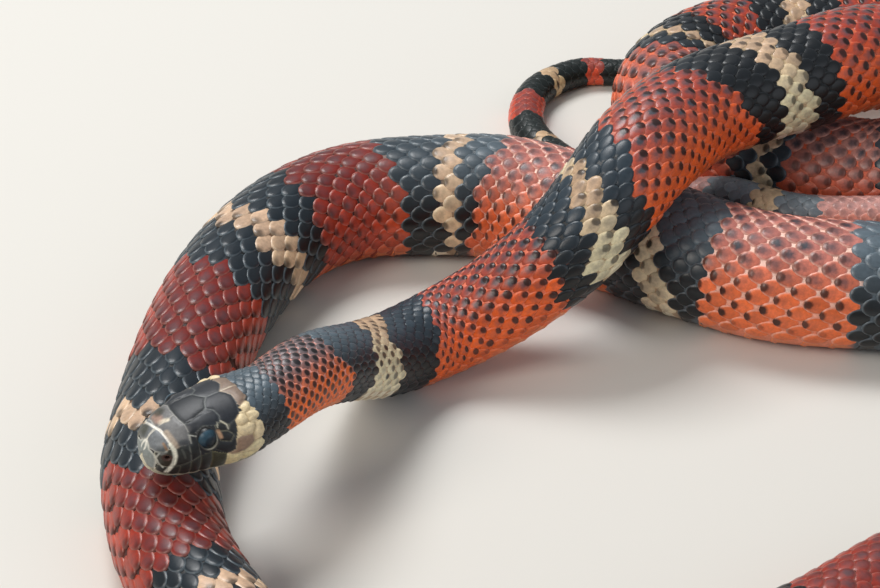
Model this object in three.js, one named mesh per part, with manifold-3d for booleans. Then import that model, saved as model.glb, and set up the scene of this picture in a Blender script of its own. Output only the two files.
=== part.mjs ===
// A milk snake at rest in loose coils, life size.
// Millimetres, +Z up, the belly on the floor at Z = 0, the head over the left loop.
// The body follows one route on the floor plan. Where it passes over itself, a lift
// profile raises its underside in a long low hump.

import * as THREE from 'three';
import { mergeVertices } from 'three/addons/utils/BufferGeometryUtils.js';
import Module from 'manifold-3d';

const wasm = await Module();
wasm.setup();

// Driving dimensions of the body

const HEAD_LENGTH = 28;
const SECTION_HEIGHT = 0.95;
const BELLY_FLAT = 0.86;
const JOINT_GAP = 0.3;
const ROUTE_STEP = 1;
const RING_SPACING = 7;
const FLANK_SIDES = 17;
const FOOTPRINT_CENTRE = new THREE.Vector2(54.0, -22.6);

// Stations are distances along the floor plan, measured tailwards from the nape.
// The head lies at negative stations.

const TAIL_TIP = 1400;
const VENT = 1160;

// Route on the floor plan, from the snout to the tip of the tail.

const HEAD_AND_NECK = [
  [-56.5, -92.5], [-45, -85.5], [-33.5, -77], [-25.5, -65], [-17.5, -48], [-9, -33.5],
];
const FORWARD_RUN = [
  [0, -26], [10, -23], [19, -21], [27, -18], [35, -11], [43.5, 1], [53, 14], [65, 23], [79, 31],
  [94, 42], [109, 51],
];
const RIGHT_REAR_BEND = [
  [125, 56], [142, 61], [156, 70], [161, 85], [152, 98], [135, 102], [118, 96], [101, 88],
];
const REAR_HAIRPIN = [
  [83, 85], [68, 82], [57, 73], [52, 60], [56, 47.5], [66, 38], [81, 31], [98, 27],
];
const RIGHT_HAIRPIN = [
  [116, 24], [133, 15], [139, 0], [132, -13], [115, -17], [92, -14], [71, -11],
];
const LEFT_LOOP = [
  [53, -2.5], [40, 6], [26, 14.5], [13, 20], [0, 21], [-19, 19], [-32, 10], [-40, -2], [-46, -17],
  [-51, -38], [-54, -60], [-55, -74], [-54, -84], [-51, -99], [-44, -115],
];
const FRONT_RUN = [
  [-34, -131], [-17, -144], [5, -149], [28, -145], [49, -134], [69, -122], [89, -105],
  [112, -92], [138, -77], [159, -56], [167, -32], [160, -10], [144, 0],
];
const TAIL_RUN = [
  [127, 3], [110, 5], [93, 7], [76, 9], [67, 14], [56.5, 20.5], [46.5, 27], [38, 34], [30, 42],
  [24, 50], [20, 60], [20, 70], [23, 78], [28, 83], [34, 86], [41, 86], [49, 89], [57, 96],
  [69, 101], [84, 103], [99, 103],
];
const WAYPOINTS = [
  ...HEAD_AND_NECK, ...FORWARD_RUN, ...RIGHT_REAR_BEND, ...REAR_HAIRPIN, ...RIGHT_HAIRPIN,
  ...LEFT_LOOP, ...FRONT_RUN, ...TAIL_RUN,
];

// Half width of the body by station.

const GIRTH = [
  [0, 7.9], [30, 8.6], [60, 9.8], [90, 11.2], [120, 12.2], [200, 12.3], [300, 13.0],
  [420, 13.6], [500, 13.9], [560, 14.3], [660, 14.2], [710, 12.8], [770, 12.1], [840, 11.5],
  [920, 11.2], [1000, 10.2], [1100, 8.2], [VENT, 6.4], [1200, 5.5], [1280, 4.7],
  [1330, 3.6], [1370, 2.3], [TAIL_TIP, 0.9],
];

// Height of the underside above the floor by station.

const LIFT = [
  [3, 22.5], [58, 0], [114, 26.8], [166, 26.0], [246, 0], [454, 0], [499, 13], [513, 13],
  [558, 0], [VENT, 0], [1192, 10.5], [1212, 10], [1234, 9.5], [1264, 0],
];

// Ends of the body lengths, by station.

const LENGTHS = [
  ['neck', 0, 58], ['trunk_01', 58, 121], ['trunk_02', 121, 187], ['trunk_03', 187, 266],
  ['trunk_04', 266, 332], ['trunk_05', 332, 396], ['trunk_06', 396, 458],
  ['trunk_07', 458, 512], ['trunk_08', 512, 569], ['trunk_09', 569, 636],
  ['trunk_10', 636, 700], ['trunk_11', 700, 762], ['trunk_12', 762, 830],
  ['trunk_13', 830, 888], ['trunk_14', 888, 955], ['trunk_15', 955, 1024],
  ['trunk_16', 1024, 1096], ['trunk_17', 1096, VENT], ['tail_01', VENT, 1234],
  ['tail_02', 1234, 1300], ['tail_03', 1300, 1350], ['tail_04', 1350, TAIL_TIP],
];

// Head stations: distance forward of the nape, half width, height above and depth below
// the head's axis.

const HEAD_STATIONS = [
  [0, 7.9, 7.5, 6.45], [4, 8.8, 7.4, 6.6], [8, 9.4, 7.2, 6.9], [12, 9.2, 7.0, 7.1],
  [16, 8.1, 6.6, 7.2], [19, 7.5, 6.0, 7.1], [22, 6.8, 5.0, 6.8], [24.5, 5.8, 3.9, 6.2],
  [26.3, 4.6, 2.8, 5.2], [27.4, 2.9, 1.4, 3.6],
];
const SNOUT_TIP = new THREE.Vector3(HEAD_LENGTH, 0, -0.8);
const HEAD_SIDES = 32;
const HEAD_RING_SPACING = 1.4;

const EYE_CENTRE = new THREE.Vector3(17.1, 6.2, 2.7);
const EYE_RADIUS = 2.45;
const SOCKET_CLEARANCE = 0.35;
const BROW_CENTRE = new THREE.Vector3(17.0, 5.5, 5.0);
const BROW_SIZE = new THREE.Vector3(3.6, 2.2, 1.4);
const NOSTRIL_CENTRE = new THREE.Vector3(25.3, 5.1, 0.2);
const NOSTRIL_SIZE = new THREE.Vector3(0.8, 0.9, 0.6);

// Line of the mouth in side view: distance forward of the nape and height on the axis.

const MOUTH_LINE = [
  [9, -3.2], [11, -4.0], [14, -4.9], [18, -5.2], [22, -5.1], [25, -4.6], [27, -3.6], [29, -3.2],
];
const JAW_TUCK = 0.96;
const JAW_BLOCK_DEPTH = 10;
const JAW_BLOCK_WIDTH = 60;

// Fineness of the round details.

const FRAME_REACH = 2;
const DETAIL_SIDES = 16;
const DETAIL_RINGS = 12;
const EYE_SIDES = 20;
const EYE_RINGS = 14;
const MOUTH_STEPS = 8;

const FINISHES = {
  red: { color: 0xa8382c, roughness: 0.4 },
  black: { color: 0x1d2024, roughness: 0.4 },
  cap: { color: 0x2c3035, roughness: 0.4 },
  jaw: { color: 0xcfc5a8, roughness: 0.45 },
  eye: { color: 0x0c1218, roughness: 0.08 },
};

// Interpolates between [station, value] keys, easing in and out of each key.
function easedValue(keys, station) {
  if (station <= keys[0][0]) return keys[0][1];
  for (let i = 1; i < keys.length; i += 1) {
    const [end, endValue] = keys[i];
    if (station <= end) {
      const [start, startValue] = keys[i - 1];
      return THREE.MathUtils.lerp(startValue, endValue, THREE.MathUtils.smoothstep(station, start, end));
    }
  }
  return keys[keys.length - 1][1];
}

// Interpolates in straight lines between [station, ...values] rows.
function linearRow(rows, station) {
  let i = 1;
  while (i < rows.length - 1 && station > rows[i][0]) i += 1;
  const [start, ...from] = rows[i - 1];
  const [end, ...to] = rows[i];
  const t = THREE.MathUtils.clamp((station - start) / (end - start), 0, 1);
  return from.map((value, k) => THREE.MathUtils.lerp(value, to[k], t));
}

// Interpolates [station, ...values] rows with a rounded curve.
function roundedRow(rows, station) {
  const points = rows.map((row) => new THREE.Vector3(...row.slice(1)));
  const curve = new THREE.CatmullRomCurve3(points, false, 'chordal');
  let i = 1;
  while (i < rows.length - 1 && station > rows[i][0]) i += 1;
  const t = (station - rows[i - 1][0]) / (rows[i][0] - rows[i - 1][0]);
  const p = curve.getPoint((i - 1 + THREE.MathUtils.clamp(t, 0, 1)) / (rows.length - 1));
  return [p.x, p.y, p.z];
}

// Second derivatives of the natural cubic spline through values at uneven knots.
function splineBends(values, knots) {
  const n = values.length;
  const diagonal = new Array(n).fill(1);
  const right = new Array(n).fill(0);
  const upper = new Array(n).fill(0);
  const bends = new Array(n).fill(0);
  for (let i = 1; i < n - 1; i += 1) {
    const before = knots[i] - knots[i - 1];
    const after = knots[i + 1] - knots[i];
    const slopeChange = (values[i + 1] - values[i]) / after - (values[i] - values[i - 1]) / before;
    const factor = i > 1 ? before / diagonal[i - 1] : 0;
    diagonal[i] = 2 * (before + after) - factor * upper[i - 1];
    upper[i] = after;
    right[i] = 6 * slopeChange - factor * right[i - 1];
  }
  for (let i = n - 2; i > 0; i -= 1) {
    bends[i] = (right[i] - upper[i] * bends[i + 1]) / diagonal[i];
  }
  return bends;
}

// Walks the smooth route through the waypoints in small steps.
function walkRoute(points) {
  const knots = [0];
  for (let i = 1; i < points.length; i += 1) {
    knots.push(knots[i - 1] + Math.hypot(points[i][0] - points[i - 1][0], points[i][1] - points[i - 1][1]));
  }
  const xs = points.map((p) => p[0]);
  const ys = points.map((p) => p[1]);
  const xBends = splineBends(xs, knots);
  const yBends = splineBends(ys, knots);
  const walk = [];
  for (let i = 0; i < points.length - 1; i += 1) {
    const span = knots[i + 1] - knots[i];
    const steps = Math.max(2, Math.round(span / ROUTE_STEP));
    const last = i === points.length - 2 ? steps : steps - 1;
    for (let k = 0; k <= last; k += 1) {
      const b = k / steps;
      const a = 1 - b;
      const blend = (v, m) => a * v[i] + b * v[i + 1]
        + ((a ** 3 - a) * m[i] + (b ** 3 - b) * m[i + 1]) * span * span / 6;
      walk.push({ x: blend(xs, xBends), y: blend(ys, yBends) });
    }
  }
  let station = -HEAD_LENGTH;
  walk.forEach((p, i) => {
    if (i > 0) station += Math.hypot(p.x - walk[i - 1].x, p.y - walk[i - 1].y);
    p.station = station;
  });
  return walk;
}

const route = walkRoute(WAYPOINTS);

const girthAt = (station) => linearRow(GIRTH, station)[0];

// Point on the body's axis at a station, past either end along the end direction.
function axisPoint(station) {
  let low = 0;
  let high = route.length - 1;
  while (high - low > 1) {
    const middle = (low + high) >> 1;
    if (route[middle].station > station) high = middle;
    else low = middle;
  }
  const t = (station - route[low].station) / (route[high].station - route[low].station);
  const x = THREE.MathUtils.lerp(route[low].x, route[high].x, t) - FOOTPRINT_CENTRE.x;
  const y = THREE.MathUtils.lerp(route[low].y, route[high].y, t) - FOOTPRINT_CENTRE.y;
  const z = easedValue(LIFT, station) + BELLY_FLAT * SECTION_HEIGHT * girthAt(Math.max(station, 0));
  return new THREE.Vector3(x, y, z);
}

// Axis point with the body's left and up directions.
function frameAt(station) {
  const centre = axisPoint(station);
  const behind = axisPoint(station + FRAME_REACH);
  const ahead = axisPoint(station - FRAME_REACH);
  const tailward = behind.sub(ahead).normalize();
  const left = new THREE.Vector3().crossVectors(tailward, new THREE.Vector3(0, 0, 1)).normalize();
  const up = new THREE.Vector3().crossVectors(left, tailward);
  return { centre, left, up };
}

function place(frame, across, height) {
  const p = frame.centre.clone().addScaledVector(frame.left, across).addScaledVector(frame.up, height);
  p.z = Math.max(p.z, 0);
  return p;
}

// Round body section with a flat belly, as unit offsets across and up.
function bodySection() {
  const corner = Math.acos(-BELLY_FLAT);
  const section = [];
  for (let k = 0; k <= FLANK_SIDES; k += 1) {
    const angle = -corner + (2 * corner * k) / FLANK_SIDES;
    section.push([Math.sin(angle), SECTION_HEIGHT * Math.cos(angle)]);
  }
  section.push([0, -SECTION_HEIGHT * BELLY_FLAT]);
  return section;
}

// Closed skin through equal rings of points, with a fan at each end.
function loft(rings, startPoint, endPoint) {
  const sides = rings[0].length;
  const points = [...rings.flat(), startPoint, endPoint];
  const start = rings.length * sides;
  const end = start + 1;
  const index = [];
  for (let i = 0; i < rings.length - 1; i += 1) {
    for (let k = 0; k < sides; k += 1) {
      const a = i * sides + k;
      const b = i * sides + (k + 1) % sides;
      index.push(a, b, a + sides, b, b + sides, a + sides);
    }
  }
  const lastRing = (rings.length - 1) * sides;
  for (let k = 0; k < sides; k += 1) {
    const next = (k + 1) % sides;
    index.push(start, next, k);
    index.push(end, lastRing + k, lastRing + next);
  }
  const geometry = new THREE.BufferGeometry().setFromPoints(points);
  geometry.setIndex(index);
  return geometry;
}

const average = (ring) => ring.reduce((sum, p) => sum.add(p), new THREE.Vector3()).divideScalar(ring.length);

function bodyLength(start, end) {
  const first = start + JOINT_GAP / 2;
  const last = end === TAIL_TIP ? end : end - JOINT_GAP / 2;
  const count = Math.ceil((last - first) / RING_SPACING);
  const section = bodySection();
  const rings = [];
  for (let i = 0; i <= count; i += 1) {
    const station = THREE.MathUtils.lerp(first, last, i / count);
    const frame = frameAt(station);
    const girth = girthAt(station);
    rings.push(section.map(([across, height]) => place(frame, across * girth, height * girth)));
  }
  return loft(rings, average(rings[0]), average(rings[count]));
}

function toSolid(geometry) {
  const merged = mergeVertices(positionsOnly(geometry));
  return new wasm.Manifold(new wasm.Mesh({
    numProp: 3,
    vertProperties: new Float32Array(merged.attributes.position.array),
    triVerts: new Uint32Array(merged.index.array),
  }));
}

function positionsOnly(geometry) {
  const bare = geometry.clone();
  bare.deleteAttribute('normal');
  bare.deleteAttribute('uv');
  return bare;
}

function toGeometry(solid) {
  const mesh = solid.getMesh();
  const geometry = new THREE.BufferGeometry();
  geometry.setAttribute('position', new THREE.BufferAttribute(new Float32Array(mesh.vertProperties), 3));
  geometry.setIndex(new THREE.BufferAttribute(new Uint32Array(mesh.triVerts), 1));
  return geometry;
}

function largestPiece(solid) {
  const pieces = solid.decompose();
  return pieces.reduce((best, piece) => (piece.volume() > best.volume() ? piece : best));
}

// The head is shaped straight, as forward, left and up, and bent on to the route last.

function headSection(station) {
  const [width, top, bottom] = roundedRow(HEAD_STATIONS, station);
  const ring = [];
  for (let k = 0; k < HEAD_SIDES; k += 1) {
    const angle = (-2 * Math.PI * k) / HEAD_SIDES;
    const depth = Math.cos(angle) > 0 ? top : bottom;
    ring.push(new THREE.Vector3(station, width * Math.sin(angle), depth * Math.cos(angle)));
  }
  return ring;
}

function straightHead() {
  const first = JOINT_GAP / 2;
  const last = HEAD_STATIONS[HEAD_STATIONS.length - 1][0];
  const count = Math.ceil((last - first) / HEAD_RING_SPACING);
  const rings = [];
  for (let i = 0; i <= count; i += 1) rings.push(headSection(THREE.MathUtils.lerp(first, last, i / count)));
  return toSolid(loft(rings, new THREE.Vector3(first, 0, 0), SNOUT_TIP));
}

function ellipsoid(centre, size, side) {
  const geometry = new THREE.SphereGeometry(1, DETAIL_SIDES, DETAIL_RINGS);
  geometry.scale(size.x, size.y, size.z);
  geometry.translate(centre.x, centre.y * side, centre.z);
  return toSolid(geometry);
}

// Block below the line of the mouth, grown up and back by a gap.
function jawBlock(gap) {
  const corner = MOUTH_LINE[0];
  const shape = new THREE.Shape();
  shape.moveTo(corner[0] - gap, -JAW_BLOCK_DEPTH);
  shape.lineTo(corner[0] - gap, corner[1] + gap);
  shape.splineThru(MOUTH_LINE.slice(1).map(([x, y]) => new THREE.Vector2(x, y + gap)));
  shape.lineTo(MOUTH_LINE[MOUTH_LINE.length - 1][0], -JAW_BLOCK_DEPTH);
  const block = new THREE.ExtrudeGeometry(shape, {
    depth: JAW_BLOCK_WIDTH, bevelEnabled: false, curveSegments: MOUTH_STEPS,
  });
  block.translate(0, 0, -JAW_BLOCK_WIDTH / 2);
  block.rotateX(Math.PI / 2);
  return toSolid(block);
}

function bendOntoRoute(geometry) {
  const position = geometry.attributes.position;
  for (let i = 0; i < position.count; i += 1) {
    const frame = frameAt(-position.getX(i));
    const p = place(frame, position.getY(i), position.getZ(i));
    position.setXYZ(i, p.x, p.y, p.z);
  }
  return geometry;
}

function headPieces() {
  let whole = straightHead();
  const sides = [1, -1];
  sides.forEach((side) => { whole = whole.add(ellipsoid(BROW_CENTRE, BROW_SIZE, side)); });
  const jaw = largestPiece(whole.intersect(jawBlock(0)));
  let skull = whole.subtract(jawBlock(JOINT_GAP));
  const socket = new THREE.Vector3().setScalar(EYE_RADIUS + SOCKET_CLEARANCE);
  sides.forEach((side) => {
    skull = skull.subtract(ellipsoid(EYE_CENTRE, socket, side));
    skull = skull.subtract(ellipsoid(NOSTRIL_CENTRE, NOSTRIL_SIZE, side));
  });
  const jawGeometry = toGeometry(jaw);
  jawGeometry.scale(1, JAW_TUCK, 1);
  return { skull: bendOntoRoute(toGeometry(largestPiece(skull))), jaw: bendOntoRoute(jawGeometry) };
}

function eyeball(side) {
  const geometry = positionsOnly(new THREE.SphereGeometry(EYE_RADIUS, EYE_SIDES, EYE_RINGS));
  geometry.translate(EYE_CENTRE.x, EYE_CENTRE.y * side, EYE_CENTRE.z);
  return bendOntoRoute(mergeVertices(geometry));
}

function addPart(group, name, geometry, finish) {
  geometry.computeVertexNormals();
  const material = new THREE.MeshStandardMaterial({ ...finish, metalness: 0 });
  const mesh = new THREE.Mesh(geometry, material);
  mesh.name = name;
  group.add(mesh);
}

function milkSnake() {
  const snake = new THREE.Group();
  const { skull, jaw } = headPieces();
  addPart(snake, 'head', skull, FINISHES.cap);
  addPart(snake, 'lower_jaw', jaw, FINISHES.jaw);
  addPart(snake, 'eye_left', eyeball(1), FINISHES.eye);
  addPart(snake, 'eye_right', eyeball(-1), FINISHES.eye);
  LENGTHS.forEach(([name, start, end], i) => {
    addPart(snake, name, bodyLength(start, end), i % 2 ? FINISHES.red : FINISHES.black);
  });
  return snake;
}

export default milkSnake();
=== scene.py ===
"""Dresses a life-size milk snake that rests in loose coils with its head over one loop.

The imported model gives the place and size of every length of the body. This script lays one
continuous skin inside those lengths, shapes the head with its shields, lips and eyes, and
covers the body with separate overlapping scales and belly scutes.
"""

import logging
import math
from dataclasses import dataclass, field
from enum import Enum, IntEnum

import bpy
import numpy as np
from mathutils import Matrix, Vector


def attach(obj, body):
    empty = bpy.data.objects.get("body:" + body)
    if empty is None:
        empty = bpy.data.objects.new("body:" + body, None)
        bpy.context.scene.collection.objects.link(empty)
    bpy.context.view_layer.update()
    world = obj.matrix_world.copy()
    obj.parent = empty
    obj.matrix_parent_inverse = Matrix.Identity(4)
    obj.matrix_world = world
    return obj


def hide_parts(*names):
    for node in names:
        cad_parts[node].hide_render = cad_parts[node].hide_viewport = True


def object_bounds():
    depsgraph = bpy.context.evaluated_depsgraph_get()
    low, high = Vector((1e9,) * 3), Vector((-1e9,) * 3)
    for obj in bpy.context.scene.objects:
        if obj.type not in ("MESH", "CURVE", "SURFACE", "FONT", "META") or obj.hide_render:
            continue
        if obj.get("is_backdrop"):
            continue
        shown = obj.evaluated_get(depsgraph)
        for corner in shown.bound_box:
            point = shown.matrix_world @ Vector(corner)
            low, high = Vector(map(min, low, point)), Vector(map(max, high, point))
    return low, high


Array = np.ndarray
Socket = bpy.types.NodeSocket
Tree = bpy.types.NodeTree
Pair = tuple[float, float]
Triple = tuple[float, float, float]
Tints = tuple[str, str, str]

MM = 0.001
HEAD_LENGTH = 28.0
VENT = 1160.0
TAIL_TIP = 1400.0
SECTION_HEIGHT = 0.95
BELLY_FLAT = 0.86
FOOTPRINT_CENTRE = (54.0, -22.6)

logging.basicConfig(level=logging.INFO, format="%(message)s")
log = logging.getLogger("milk snake")


def linear(hex_colour: str) -> tuple[float, float, float, float]:
    """Turns an sRGB hex colour to linear light.

    Args:
        hex_colour: six hex digits with a leading hash.

    Returns:
        Linear red, green, blue and an alpha of one.
    """
    parts = [int(hex_colour[i : i + 2], 16) / 255 for i in (1, 3, 5)]
    return (*[p / 12.92 if p <= 0.04045 else ((p + 0.055) / 1.055) ** 2.4 for p in parts], 1.0)


def rgb(hex_colour: str) -> Array:
    """Linear red, green and blue of an sRGB hex colour."""
    return np.array(linear(hex_colour)[:3])


def ease(low: float, high: float, value: Array) -> Array:
    """Rises smoothly from 0 at low to 1 at high."""
    t = np.clip((value - low) / (high - low), 0.0, 1.0)
    return t * t * (3 - 2 * t)


def bell(value: Array, width: float) -> Array:
    """Falls smoothly from 1 at nought on either side."""
    return np.exp(-((value / width) ** 2))


def blend(colour: Array, other: Array, share: Array) -> Array:
    """Mixes each place's share of another colour in."""
    share = share[..., None]
    return colour * (1 - share) + other * share


def keyed(keys: tuple, station: Array, column: int = 1) -> Array:
    """Values straight between keys that each start with their station."""
    table = np.array(keys)
    return np.interp(station, table[:, 0], table[:, column])


def unit(vectors: Array, least: float = 0.0) -> Array:
    """Vectors scaled to length one."""
    return vectors / (np.linalg.norm(vectors, axis=-1, keepdims=True) + least)


def add(tree: Tree, kind: str, inputs: dict | None = None, **settings: object) -> bpy.types.Node:
    """Adds a node with its settings and links.

    Args:
        tree: the node tree that takes it.
        kind: the node's type name.
        inputs: value or output socket for each input, by name or index.
        **settings: the node's own properties.

    Returns:
        The new node.
    """
    node = tree.nodes.new(kind)
    for name, value in settings.items():
        setattr(node, name, value)
    for key, value in (inputs or {}).items():
        if isinstance(value, Socket):
            tree.links.new(value, node.inputs[key])
        else:
            node.inputs[key].default_value = value
    return node


class Tone(IntEnum):
    """Colour of a ring of scales."""

    RED = 0
    BLACK = 1
    CREAM = 2


@dataclass
class Route:
    """The axis of the body on the floor, from the snout to the tip of the tail, in millimetres.

    Stations are distances along the floor plan behind the nape, so the head is negative.
    """

    waypoints: tuple[Pair, ...] = (
        # head and neck
        (-56.5, -92.5), (-45, -85.5), (-33.5, -77), (-25.5, -65), (-17.5, -48), (-9, -33.5),
        # forward run
        (0, -26), (10, -23), (19, -21), (27, -18), (35, -11), (43.5, 1), (53, 14), (65, 23), (79, 31),
        (94, 42), (109, 51),
        # right rear bend
        (125, 56), (142, 61), (156, 70), (161, 85), (152, 98), (135, 102), (118, 96), (101, 88),
        # rear hairpin
        (83, 85), (68, 82), (57, 73), (52, 60), (56, 47.5), (66, 38), (81, 31), (98, 27),
        # right hairpin
        (116, 24), (133, 15), (139, 0), (132, -13), (115, -17), (92, -14), (71, -11),
        # left loop
        (53, -2.5), (40, 6), (26, 14.5), (13, 20), (0, 21), (-19, 19), (-32, 10), (-40, -2), (-46, -17),
        (-51, -38), (-54, -60), (-55, -74), (-54, -84), (-51, -99), (-44, -115),
        # front run
        (-34, -131), (-17, -144), (5, -149), (28, -145), (49, -134), (69, -122), (89, -105),
        (112, -92), (138, -77), (159, -56), (167, -32), (160, -10), (144, 0),
        # tail
        (127, 3), (110, 5), (93, 7), (76, 9), (67, 14), (56.5, 20.5), (46.5, 27), (38, 34), (30, 42),
        (24, 50), (20, 60), (20, 70), (23, 78), (28, 83), (34, 86), (41, 86), (49, 89), (57, 96),
        (69, 101), (84, 103), (99, 103),
    )
    girth_keys: tuple[Pair, ...] = (
        (0, 7.9), (30, 8.6), (60, 9.8), (90, 11.2), (120, 12.2), (200, 12.3), (300, 13.0),
        (420, 13.6), (500, 13.9), (560, 14.3), (660, 14.2), (710, 12.8), (770, 12.1), (840, 11.5),
        (920, 11.2), (1000, 10.2), (1100, 8.2), (VENT, 6.4), (1200, 5.5), (1280, 4.7),
        (1330, 3.6), (1370, 2.3), (TAIL_TIP, 0.9),
    )
    lift_keys: tuple[Pair, ...] = (
        (3, 22.5), (58, 0), (114, 26.8), (166, 26.0), (246, 0), (454, 0), (499, 13), (513, 13),
        (558, 0), (VENT, 0), (1192, 10.5), (1212, 10), (1234, 9.5), (1264, 0),
    )
    step: float = 1.0
    reach: float = 2.0
    station: Array = field(init=False)
    plan: Array = field(init=False)

    def __post_init__(self) -> None:
        """Walks the smooth curve through the waypoints."""
        points = np.array(self.waypoints, float)
        knots = np.concatenate([[0], np.cumsum(np.linalg.norm(np.diff(points, axis=0), axis=1))])
        bends = self.bends(points, knots)
        walk = []
        for i in range(len(points) - 1):
            span = knots[i + 1] - knots[i]
            steps = max(2, int(math.floor(span / self.step + 0.5)))
            b = np.arange(steps + (i == len(points) - 2))[:, None] / steps
            a = 1 - b
            curve = a * points[i] + b * points[i + 1]
            curve = curve + ((a**3 - a) * bends[i] + (b**3 - b) * bends[i + 1]) * span**2 / 6
            walk.append(curve)
        self.plan = np.concatenate(walk)
        lengths = np.linalg.norm(np.diff(self.plan, axis=0), axis=1)
        self.station = np.concatenate([[0], np.cumsum(lengths)]) - HEAD_LENGTH

    @staticmethod
    def bends(points: Array, knots: Array) -> Array:
        """Second derivatives of the natural cubic spline.

        Args:
            points: the values to pass through, one row each.
            knots: the rising parameter of each row.

        Returns:
            One row of second derivatives for each point.
        """
        n = len(points)
        matrix = np.eye(n)
        right = np.zeros_like(points)
        for i in range(1, n - 1):
            before, after = knots[i] - knots[i - 1], knots[i + 1] - knots[i]
            matrix[i, i - 1 : i + 2] = before, 2 * (before + after), after
            right[i] = 6 * ((points[i + 1] - points[i]) / after - (points[i] - points[i - 1]) / before)
        return np.linalg.solve(matrix, right)

    def girth(self, station: Array) -> Array:
        """Half width of the body at each station."""
        return keyed(self.girth_keys, station)

    def lift(self, station: Array) -> Array:
        """Height of the underside above the floor at each station.

        Args:
            station: stations of any shape.

        Returns:
            Heights in millimetres.
        """
        keys = np.array(self.lift_keys)
        i = np.clip(np.searchsorted(keys[:, 0], station), 1, len(keys) - 1)
        t = ease(keys[i - 1, 0], keys[i, 0], station)
        return keys[i - 1, 1] * (1 - t) + keys[i, 1] * t

    def axis(self, station: Array) -> Array:
        """Points on the axis, carried straight on past either end.

        Args:
            station: stations of any shape.

        Returns:
            Points in millimetres.
        """
        ends = np.clip(station, self.station[0], self.station[-1])
        xy = np.stack([np.interp(ends, self.station, self.plan[:, k]) for k in (0, 1)], -1)
        for end, inner, past in ((0, 1, np.minimum), (-1, -2, np.maximum)):
            along = (self.plan[end] - self.plan[inner]) / (self.station[end] - self.station[inner])
            xy = xy + past(station - self.station[end], 0)[..., None] * along
        z = self.lift(station) + BELLY_FLAT * SECTION_HEIGHT * self.girth(station)
        return np.stack([xy[..., 0] - FOOTPRINT_CENTRE[0], xy[..., 1] - FOOTPRINT_CENTRE[1], z], -1)

    def frames(self, station: Array) -> tuple[Array, Array, Array]:
        """Axis points with the body's left and up directions.

        Args:
            station: stations of any shape.

        Returns:
            Centre, left and up, each with a last axis of three.
        """
        tailward = unit(self.axis(station + self.reach) - self.axis(station - self.reach))
        left = unit(np.cross(tailward, [0.0, 0.0, 1.0]))
        return self.axis(station), left, np.cross(left, tailward)


@dataclass(frozen=True)
class Dressing:
    """How the scales look over one stretch of the body, with colours for red, black and cream."""

    # stations between which the look stays the same
    span: Pair
    # the back's colours for red, black and cream are partly painted sky sheen: its blacks are slate blue-grey
    # and its reds greyer; the flank colours are the scales' own
    upper: Tints
    flank: Tints
    skin: Tints
    # colours of the thin pale edge: partly the skin's pale margin, partly a painted highlight where a scale's
    # rim catches the light, most of all the blue-grey rims of the black scales
    edge: Tints
    # share of the thin pale edge (partly a painted highlight), of the smoky middle (on the back partly a
    # painted sheen) and of the black end, then the end's place
    rim: Triple
    smoke_and_sheen: float
    tip: float
    spot: Triple


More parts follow.
